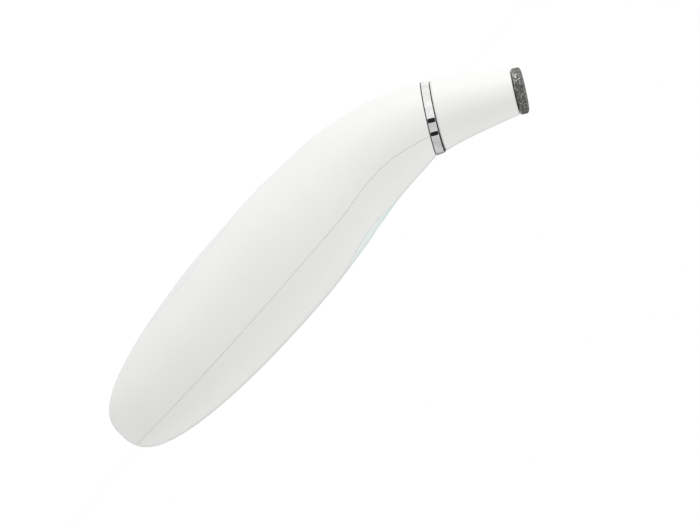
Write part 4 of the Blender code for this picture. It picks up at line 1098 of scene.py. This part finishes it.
def rubber_finish(name, colour=(0.011, 0.011, 0.012), rough=0.55):
    """Soft black rubber: dull, with a dusty bloom and a fine skin."""
    finish = Finish(name, colour, specular_ior_level=0.3)
    bloom = finish.noise(160.0, 4.0)
    skin = finish.noise(3800.0, 2.0)
    paler = tuple(min(1.0, v * 1.5 + 0.006) for v in colour)
    finish.give(base_color=finish.blend(bloom.above(0.4, 0.8), colour, paler),
                roughness=rough + 0.2 * bloom)
    return finish.relief(skin, 0.00001)


chrome = chrome_finish()
rubber = rubber_finish("black_rubber")
print("chrome and rubber made")

# %% [markdown]
# ## Collar ring
#
# The ring is thin chromed sheet with two release slots on each side. It is a turned band with
# rounded edges that narrows a little towards the head. The slots are cut by small blocks that stand
# across the wall, with their corners rounded as a punch leaves them.

# %% Collar ring
COLLAR = 0.0034
RING_REAR, RING_FRONT, RING_WALL, RING_EDGE = 0.0127, 0.0124, 0.0008, 0.0002
SLOT_ANGLES = (math.radians(1.3), math.radians(23.0))
SLOT_SIZE, SLOT_CORNERS = (0.0026, 0.00155), 0.32


def slot_tool(name, angle, side):
    """Small block across the ring's wall, its outline a superellipse: half size x cosine ^ power
    one way and half size x sine ^ power the other."""
    turn = side * (angle - math.pi / 2)
    radial = FRONT * math.cos(turn) - ACROSS * math.sin(turn)
    across = -FRONT * math.sin(turn) - ACROSS * math.cos(turn)
    t = np.linspace(0, 2 * math.pi, 33)
    u = SLOT_SIZE[0] / 2 * np.sign(np.cos(t)) * np.abs(np.cos(t)) ** SLOT_CORNERS
    v = SLOT_SIZE[1] / 2 * np.sign(np.sin(t)) * np.abs(np.sin(t)) ** SLOT_CORNERS
    outline = u[:, None] * ALONG + v[:, None] * across
    middle = NECK + ALONG * COLLAR / 2 + radial * (RING_FRONT - RING_WALL / 2)
    rows = [middle + radial * reach * RING_WALL + outline * k
            for reach, k in ((-2, 0), (-2, 1), (2, 1), (2, 0))]
    skin = Skin()
    skin.grid(np.stack(rows))
    return skin.piece(name)


low, high = GAP, COLLAR - GAP
inner = RING_FRONT - RING_WALL
profile = [(low, inner)]
profile += round_edge(low + RING_EDGE, RING_REAR - RING_EDGE, RING_EDGE, 180, 90, 4)
profile += [(COLLAR / 2, (RING_REAR + RING_FRONT) / 2)]
profile += round_edge(high - RING_EDGE, RING_FRONT - RING_EDGE, RING_EDGE, 90, 0, 4)
profile += [(high, inner)]
ring = turned("collar_ring_band", profile, 256)
cut(ring, [slot_tool(f"slot_{i}{j}", angle, side) for i, angle in enumerate(SLOT_ANGLES)
           for j, side in enumerate((1, -1))])
dress(ring, "collar_ring", chrome)

# %% [markdown]
# ### Collar gasket
#
# A black sleeve behind the ring that closes its slots. It also fills the fine joint at each edge of
# the ring with a thin lip, which the photograph shows as two dark lines. These lips are painted
# shade: black put into each joint, where the joint would be dark with its own shade. The lines could
# be a dark stripe in the chrome, but they would then lie on its edge and not beside it. The sleeve
# is turned like the ring, and its lips stay a little below the chrome, so the lines don't become
# ridges.

# %% Collar gasket
SPIGOT_COLLAR, SHADE_LINE_DEPTH, CLEAR, BEHIND = 0.0092, 0.00025, 0.00002, 0.00005
bore, behind = SPIGOT_COLLAR + GAP, inner - BEHIND
# The lips are painted shade: black rubber in the ring's joints, where they would be dark with shade.
rear_lip, front_lip = RING_REAR - SHADE_LINE_DEPTH, RING_FRONT - SHADE_LINE_DEPTH
profile = [(CLEAR, bore), (CLEAR, rear_lip), (GAP - CLEAR, rear_lip), (GAP - CLEAR, behind),
           (high + CLEAR, behind), (high + CLEAR, front_lip), (COLLAR - CLEAR, front_lip),
           (COLLAR - CLEAR, bore)]
gasket = turned("collar_gasket_sleeve", profile, 192)
dress(gasket, "collar_gasket", rubber)

# %% [markdown]
# ## Head
#
# The head is a thin white moulding that pulls off the neck. Its outside is worked out from two
# power curves, one for the radius and one for the shift. Inside it has the socket for the tip, the
# seat of the filter and the hollow for the neck's spigot. Since all of these are round, one profile
# round the whole wall makes it, inside and out.

# %% Head
HEAD_LENGTH, HEAD_BASE, HEAD_END = 0.0274, 0.0129, 0.0079
HEAD_SHIFTS = (-0.0006, -0.0026)
HEAD_TAPER, HEAD_LEAN = 0.83, 0.60
HEAD_EDGES = (0.0008, 0.0005)
SPIGOT_RADIUS, SPIGOT_REACH = 0.0076, 0.0137
FILTER_RADIUS, FILTER_THICKNESS = 0.0059, 0.0024
STEM_RADIUS, STEM_LENGTH, CHANNEL = 0.0051, 0.0069, 0.0024


def head_form(share):
    """Radius and shift of the outside, share being 0 at the base and 1 at the end.

    Both run from their first to their last value along share ^ power."""
    radius = HEAD_BASE + (HEAD_END - HEAD_BASE) * share ** HEAD_TAPER
    return radius, HEAD_SHIFTS[0] + (HEAD_SHIFTS[1] - HEAD_SHIFTS[0]) * share ** HEAD_LEAN


base, end = COLLAR, COLLAR + HEAD_LENGTH
end_shift = HEAD_SHIFTS[1]
edge, rim = HEAD_EDGES
cavity, cavity_end = SPIGOT_RADIUS + GAP, SPIGOT_REACH + GAP
seat, seat_end = FILTER_RADIUS + GAP, SPIGOT_REACH + FILTER_THICKNESS + 3 * GAP
socket, socket_floor = STEM_RADIUS + GAP, end - STEM_LENGTH
first, last = edge / HEAD_LENGTH, 1 - rim / HEAD_LENGTH
radius, shift = head_form(first)
profile = [(base, cavity, 0.0)]
profile += round_edge(base + edge, radius - edge, edge, 180, 90, 6, shift)
profile += [(base + share * HEAD_LENGTH, *head_form(share))
            for share in np.linspace(first, last, 60)[1:]]
radius, shift = head_form(last)
profile += round_edge(end - rim, radius - rim, rim, 90, 0, 6, end_shift)[1:]
profile += [(end, socket, end_shift), (socket_floor, socket, end_shift),
            (socket_floor, CHANNEL, end_shift), (seat_end, CHANNEL, 0.0), (seat_end, seat, 0.0),
            (cavity_end, seat, 0.0), (cavity_end, cavity, 0.0)]
head = turned("head_shell_skin", profile, 192)
dress(head, "head_shell", white)

# %% [markdown]
# ## Abrasive tip
#
# A steel disc plated with diamond grit. The grains are far too many to place one by one, and relief
# in the finish alone would leave the outline smooth. So the surface is a fine grid that is pushed
# out by a lattice noise: random heights at the corners of small cells, blended between them. Two
# sizes of cell give grains and clumps.

# %% Lattice noise
MIX = np.array([127.1, 311.7, 74.7])
SCATTER = 43758.5453


def lattice_noise(points, cell):
    """Value noise: a pseudo-random height at each lattice corner, blended over the cell.

    The height is the fraction of SCATTER times the sine of a fixed mix of the corner's numbers."""
    place = points / cell
    corner = np.floor(place)
    share = place - corner
    share = share * share * (3 - 2 * share)
    total = 0.0
    for step in np.array([(i, j, k) for i in (0, 1) for j in (0, 1) for k in (0, 1)]):
        height = np.abs(np.sin((corner + step) @ MIX) * SCATTER) % 1.0
        weight = np.prod(np.where(step, share, 1 - share), axis=-1)
        total = total + height * weight
    return total


def resample(profile, spacing):
    """Points along a profile at an even spacing, corners kept."""
    rows = [profile[0]]
    for first, second in zip(profile, profile[1:]):
        steps = max(1, int(math.dist(first, second) / spacing))
        way = np.array(second) - first
        rows += [tuple(np.array(first) + way * (k + 1) / steps) for k in range(steps)]
    return rows


print("noise inside a cell:", round(float(lattice_noise(np.full((1, 3), 0.5), 1.0)[0]), 3))

# %% [markdown]
# ### Profile of the tip
#
# The stem is plain turned steel with a groove for its seal. Shoulder, rim and face carry the grit,
# so only their part of the profile is taken at a fine spacing. The dome from rim to face goes up
# along sine ^ power and in along cosine ^ power. The hole in the middle, through which the air and
# the skin's dust are drawn, has a small chamfer.

# %% Profile of the tip
TIP_RADIUS, TIP_RIM, TIP_DOME, TIP_BORE = 0.0080, 0.0021, 0.0012, 0.0025
TIP_FACE, TIP_EDGE, TIP_CORNER, TIP_GROOVE, TIP_CORD = 0.0046, 0.0005, 0.0006, 0.0041, 0.00045
DOME_RISE, DOME_FALL = 0.9, 0.62
BORE_LIP, BORE_ROUND, SHOULDER_STEP = 0.0004, 0.00012, 0.0002
GRIT_SPACING = 0.00013

seat_at = end + GAP
foot, top_at = seat_at - STEM_LENGTH, seat_at + TIP_RIM + TIP_DOME
groove_at, groove_half = seat_at - TIP_GROOVE, TIP_CORD + GAP
groove_floor = STEM_RADIUS + GAP - 2 * SLIM - 2 * TIP_CORD
stem_profile = [
    (foot, TIP_BORE), (foot, STEM_RADIUS - TIP_EDGE), (foot + TIP_EDGE, STEM_RADIUS),
    (groove_at - groove_half, STEM_RADIUS), (groove_at - groove_half, groove_floor),
    (groove_at + groove_half, groove_floor), (groove_at + groove_half, STEM_RADIUS),
    (seat_at, STEM_RADIUS)]
shoulder = [(seat_at, STEM_RADIUS + SHOULDER_STEP), (seat_at, TIP_RADIUS - TIP_CORNER)]
shoulder += [p[:2] for p in round_edge(
    seat_at + TIP_CORNER, TIP_RADIUS - TIP_CORNER, TIP_CORNER, 180, 90, 6)[1:]]
dome = [(seat_at + TIP_RIM + TIP_DOME * math.sin(t) ** DOME_RISE,
         TIP_FACE + (TIP_RADIUS - TIP_FACE) * math.cos(t) ** DOME_FALL)
        for t in np.linspace(0, math.pi / 2, 14)]
face = [(top_at, TIP_BORE + BORE_LIP), (top_at - BORE_ROUND, TIP_BORE + BORE_ROUND),
        (top_at - BORE_LIP, TIP_BORE)]
grit_profile = resample(shoulder + dome + face, GRIT_SPACING)
profile = [(a, r, end_shift) for a, r in stem_profile + grit_profile]
print("tip profile:", len(profile), "points, of which", len(grit_profile), "carry grit")

# %% [markdown]
# ### Grains
#
# The normals come from the cross product of the grid's two directions, turned away from the axis
# and the stem. Each point of the grit then moves along its normal by height x (fine noise and clump
# noise in their shares - 0.5). The first and the last column are the same points, so they are set
# equal again, and the weld closes the skin.

# %% Grains
GRAIN_HEIGHT, GRAIN_CELL, CLUMP_CELL, CLUMP_SHARE = 0.00015, 0.00019, 0.00047, 0.35
LEAN_OUT, GRIT_CREASE = 0.0005, 60.0
points = turned_grid([*profile, profile[0]], 340)
normal = np.cross(np.gradient(points, axis=0), np.gradient(points, axis=1))
normal /= np.maximum(np.linalg.norm(normal, axis=-1, keepdims=True), 1e-12)
fine, clumps = lattice_noise(points, GRAIN_CELL), lattice_noise(points, CLUMP_CELL)
grains = (1 - CLUMP_SHARE) * fine + CLUMP_SHARE * clumps - 0.5
carries = np.zeros(points.shape[0])
carries[len(stem_profile) + 2:-6] = 1.0
from_axis = points - (NECK + ((points - NECK) @ ALONG)[..., None] * ALONG + FRONT * end_shift)
outward = np.sign(np.sum(normal * (from_axis + ALONG * LEAN_OUT), axis=-1, keepdims=True))
points = points + outward * normal * (grains * carries[:, None] * GRAIN_HEIGHT)[..., None]
points[:, -1] = points[:, 0]
skin = Skin()
skin.grid(points)
tip = skin.piece("abrasive_tip_disc", sharp=GRIT_CREASE)
print("grains up to", GRAIN_HEIGHT / 2, "m high")

# %% [markdown]
# ### Grit
#
# Nickel bonded diamond is dark, with single bright facets where a grain happens to mirror the
# light. Scattered cells pick those grains and paint them pale, as painted glints, and make them
# glossier. Slanted streaks gather them as in the photograph. A band on the outer side of the
# shoulder gets a painted highlight, and the grit is painted darker towards the face, as painted
# shade. The stem has no grit, so below the shoulder the same finish turns into plain turned steel.

# %% Grit
HIGHLIGHT_TOP, HIGHLIGHT_BOTTOM = (0.0048, 0.0072), (0.0088, 0.0100)


def grit_finish():
    """Nickel bonded diamond: dark grains, painted glints, slanting streaks, painted highlight and
    shade.
    """
    finish = Finish("diamond_grit", (0.12, 0.12, 0.115), metallic=0.25)
    place = finish.turned_to(tuple(NECK), neck_lean)
    out, across, along = (finish.parts(place, axis) for axis in range(3))
    # The picked grains become painted glints: pale in colour, and also glossier.
    pick = finish.parts(finish.cells(3600.0, place, "Color"), 0)
    clumps = finish.noise(1300.0, 3.0, place)
    slanted = finish.add("ShaderNodeCombineXYZ", sockets={
        0: (out + along) * 420.0, 1: (out - along) * 1700.0, 2: across * 1700.0})
    streaks = finish.noise(1.0, 2.0, slanted).above(0.44, 0.60)
    # Painted highlight: a band on the outer side of the shoulder is painted bright, broken by the
    # streaks.
    shoulder_highlight = out.above(*HIGHLIGHT_TOP) * (1.0 - out.above(*HIGHLIGHT_BOTTOM))
    shoulder_highlight = shoulder_highlight * (1.0 - along.above(seat_at + 0.0012, seat_at + 0.0030))
    bright = pick.above(0.66, 0.92) * (0.15 + 0.85 * streaks) + shoulder_highlight * streaks
    dark = finish.blend(clumps.above(0.35, 0.65), (0.034, 0.034, 0.032), (0.14, 0.14, 0.13))
    # Painted shade: the grit is painted darker towards the face.
    dark = finish.blend(0.55 * along.above(seat_at + 0.0012, top_at), dark, (0.02, 0.02, 0.02))
    grains = finish.blend(bright.maths("MINIMUM", bright, 1.0), dark, (0.62, 0.62, 0.58))
    lathe = finish.noise(1.0, 2.0, finish.stretched((60.0, 60.0, 4200.0), place))
    plated = along.above(seat_at - 0.0005, seat_at - 0.0002)
    steel_rough, grit_rough = 0.22 + 0.2 * lathe, 0.62 - 0.3 * pick.above(0.70, 0.95)
    finish.give(base_color=finish.blend(plated, (0.55, 0.55, 0.54), grains),
                metallic=0.95 - 0.70 * plated,
                roughness=steel_rough * (1.0 - plated) + grit_rough * plated)
    return finish.relief(pick * plated, 0.00005)


grit = grit_finish()
dress(tip, "abrasive_tip", grit)

# %% [markdown]
# ## Finishes of the inner pieces
#
# With the head pulled off, the spigot, the seals and the filter show, and a library user may take
# the housing off altogether. So every inner piece gets the finish of its real material, and keeps
# its CAD shape. Inner mouldings show flow marks along the part, and machined metal shows rings
# about its axis: both are noise, drawn out one way.

# %% Plastics and metals inside
CORE_HEIGHT = SPINE_HEIGHT - 0.0032


def plain_plastic(name, colour):
    """Inner moulding: flow marks along the part, dull eroded grain."""
    finish = Finish(name, colour, specular_ior_level=0.4)
    flow = finish.noise(1.0, 3.0, finish.stretched((60.0, 260.0, 260.0)))
    grain = finish.noise(3200.0, 2.0)
    darker = tuple(0.82 * v for v in colour)
    finish.give(base_color=finish.blend(flow.above(0.3, 0.75), colour, darker),
                roughness=0.42 + 0.12 * flow)
    return finish.relief(grain, 0.000012)


def turned_metal(name, colour, rough):
    """Machined or drawn metal: rings about the axis of the motor and the pump."""
    finish = Finish(name, colour, metallic=1.0)
    place = finish.turned_to((0.0, 0.0, CORE_HEIGHT), 0.0)
    cuts = finish.noise(1.0, 2.0, finish.stretched((70.0, 70.0, 4200.0), place))
    stain = finish.noise(120.0, 3.0)
    darker = tuple(0.8 * v for v in colour)
    finish.give(base_color=finish.blend(stain.above(0.35, 0.8), colour, darker),
                roughness=rough + 0.2 * cuts)
    return finish.relief(cuts, 0.000006)


dark_plastic = plain_plastic("dark_plastic", (0.045, 0.045, 0.05))
grey_plastic = plain_plastic("grey_plastic", (0.42, 0.43, 0.44))
steel = turned_metal("steel", (0.62, 0.63, 0.64), 0.26)
brass = turned_metal("brass", (0.78, 0.60, 0.30), 0.24)
silicone = rubber_finish("silicone", (0.74, 0.77, 0.77), 0.3)
print("motor and pump lie", round(CORE_HEIGHT, 4), "m above the table")

# %% [markdown]
# ### Magnet, felt and windings
#
# Sintered magnets have coarse pores, which are cells. Felt is tangled fibres, and a winding is
# parallel wires: noise again, drawn out across or along the axis.

# %% Magnet, felt and windings


def magnet_finish():
    """Sintered magnet: dark grey with coarse pores."""
    finish = Finish("magnet_grey", (0.16, 0.16, 0.17), metallic=0.6)
    pores = finish.cells(2400.0)
    tint = finish.blend(pores.above(0.1, 0.6), (0.10, 0.10, 0.11), (0.20, 0.20, 0.21))
    finish.give(base_color=tint, roughness=0.5 + 0.2 * pores)
    return finish.relief(pores, 0.00003)


def felt_finish():
    """Filter felt: tangled short fibres."""
    finish = Finish("filter_felt", (0.86, 0.86, 0.83), roughness=0.95, sheen_weight=0.3)
    fibres = finish.noise(1.0, 4.0, finish.stretched((5200.0, 1400.0, 2600.0)), roughness=0.75)
    tint = finish.blend(fibres.above(0.3, 0.7), (0.74, 0.74, 0.70), (0.92, 0.92, 0.90))
    finish.give(base_color=tint)
    return finish.relief(fibres, 0.00008)


def winding_finish():
    """Rotor: lacquered copper wire, wound along the axis in the slots of a steel core."""
    finish = Finish("rotor_core", (0.55, 0.28, 0.14), metallic=0.9)
    wires = finish.noise(1.0, 1.0, finish.stretched((120.0, 3600.0, 3600.0)))
    tint = finish.blend(wires.above(0.4, 0.6), (0.36, 0.17, 0.08), (0.72, 0.38, 0.20))
    finish.give(base_color=tint, roughness=0.3 + 0.25 * wires)
    return finish.relief(wires, 0.00006)


magnet, felt, winding = magnet_finish(), felt_finish(), winding_finish()
print("magnet, felt and windings made")

# %% [markdown]
# ### Circuit board and battery
#
# A board shows its copper tracks as paler, slightly raised lines under green lacquer. Real tracks
# could be modelled, but at this size bands in the finish do. They wander a little with a slow
# noise, so they don't look ruled. The cell is in blue shrink film with fine cross wrinkles.

# %% Circuit board and battery


def board_finish():
    """Circuit board: green lacquer over paler copper tracks that run along and across.

    A track is where the fraction of a coordinate over the spacing lies in a band."""
    finish = Finish("board_green", (0.02, 0.20, 0.09), coat_weight=0.4, coat_roughness=0.15)
    where = finish.where()
    x, y = finish.parts(where, 0), finish.parts(where, 1)
    jitter = finish.noise(300.0, 1.0)
    along = y / 0.0011 + 2.0 * jitter
    along = along.maths("FRACT", along)
    across = x / 0.0017 + 1.5 * jitter
    across = across.maths("FRACT", across)
    tracks = along.above(0.55, 0.62) - along.above(0.90, 0.97)
    links = (across.above(0.62, 0.68) - across.above(0.85, 0.9)) * jitter.above(0.5, 0.55)
    tracks = tracks.maths("MAXIMUM", tracks, links)
    finish.give(base_color=finish.blend(tracks, (0.015, 0.16, 0.07), (0.05, 0.30, 0.12)),
                roughness=0.42 - 0.12 * tracks)
    return finish.relief(tracks, 0.00003)


def battery_finish():
    """Shrink wrap: blue film with fine cross wrinkles."""
    finish = Finish("battery_wrap", (0.09, 0.27, 0.52), specular_ior_level=0.5)
    wrinkles = finish.noise(1.0, 3.0, finish.stretched((900.0, 130.0, 130.0)))
    fade = finish.noise(70.0, 2.0)
    tint = finish.blend(fade.above(0.3, 0.7), (0.08, 0.25, 0.50), (0.12, 0.32, 0.60))
    finish.give(base_color=tint, roughness=0.28 + 0.15 * wrinkles)
    return finish.relief(wrinkles, 0.00002)


board, wrap = board_finish(), battery_finish()
print("board and battery made")

# %% [markdown]
# ### Every node gets its finish
#
# The record says which material slot each piece of the CAD has. The pieces made above are dressed
# already and hide their CAD node, so what is left are the inner ones.

# %% Finishes on the inner nodes
FINISHES = {
    "dark_plastic": dark_plastic, "grey_plastic": grey_plastic, "steel": steel, "brass": brass,
    "silicone": silicone, "magnet_grey": magnet, "filter_felt": felt, "board_green": board,
    "battery_wrap": wrap, "rotor_core": winding, "black_rubber": rubber, "white_plastic": white,
    "panel_plastic": panel_white, "teal_lens": teal_clear, "frosted_lens": teal_frost,
    "chrome": chrome, "diamond_grit": grit,
}
slots = {row["node"]: row["material_slot"] for row in frame["record"]["subparts"]}
for name, node in frame["nodes"].items():
    if not node.hide_render:
        node.data.materials.clear()
        node.data.materials.append(FINISHES[slots[name]].material)
print("finishes on", sum(not n.hide_render for n in frame["nodes"].values()), "inner nodes")

# %% [markdown]
#
# The Standard view shows a colour as it is written, which suits a white product on white.

# %% View
bpy.context.scene.view_settings.view_transform = "Standard"
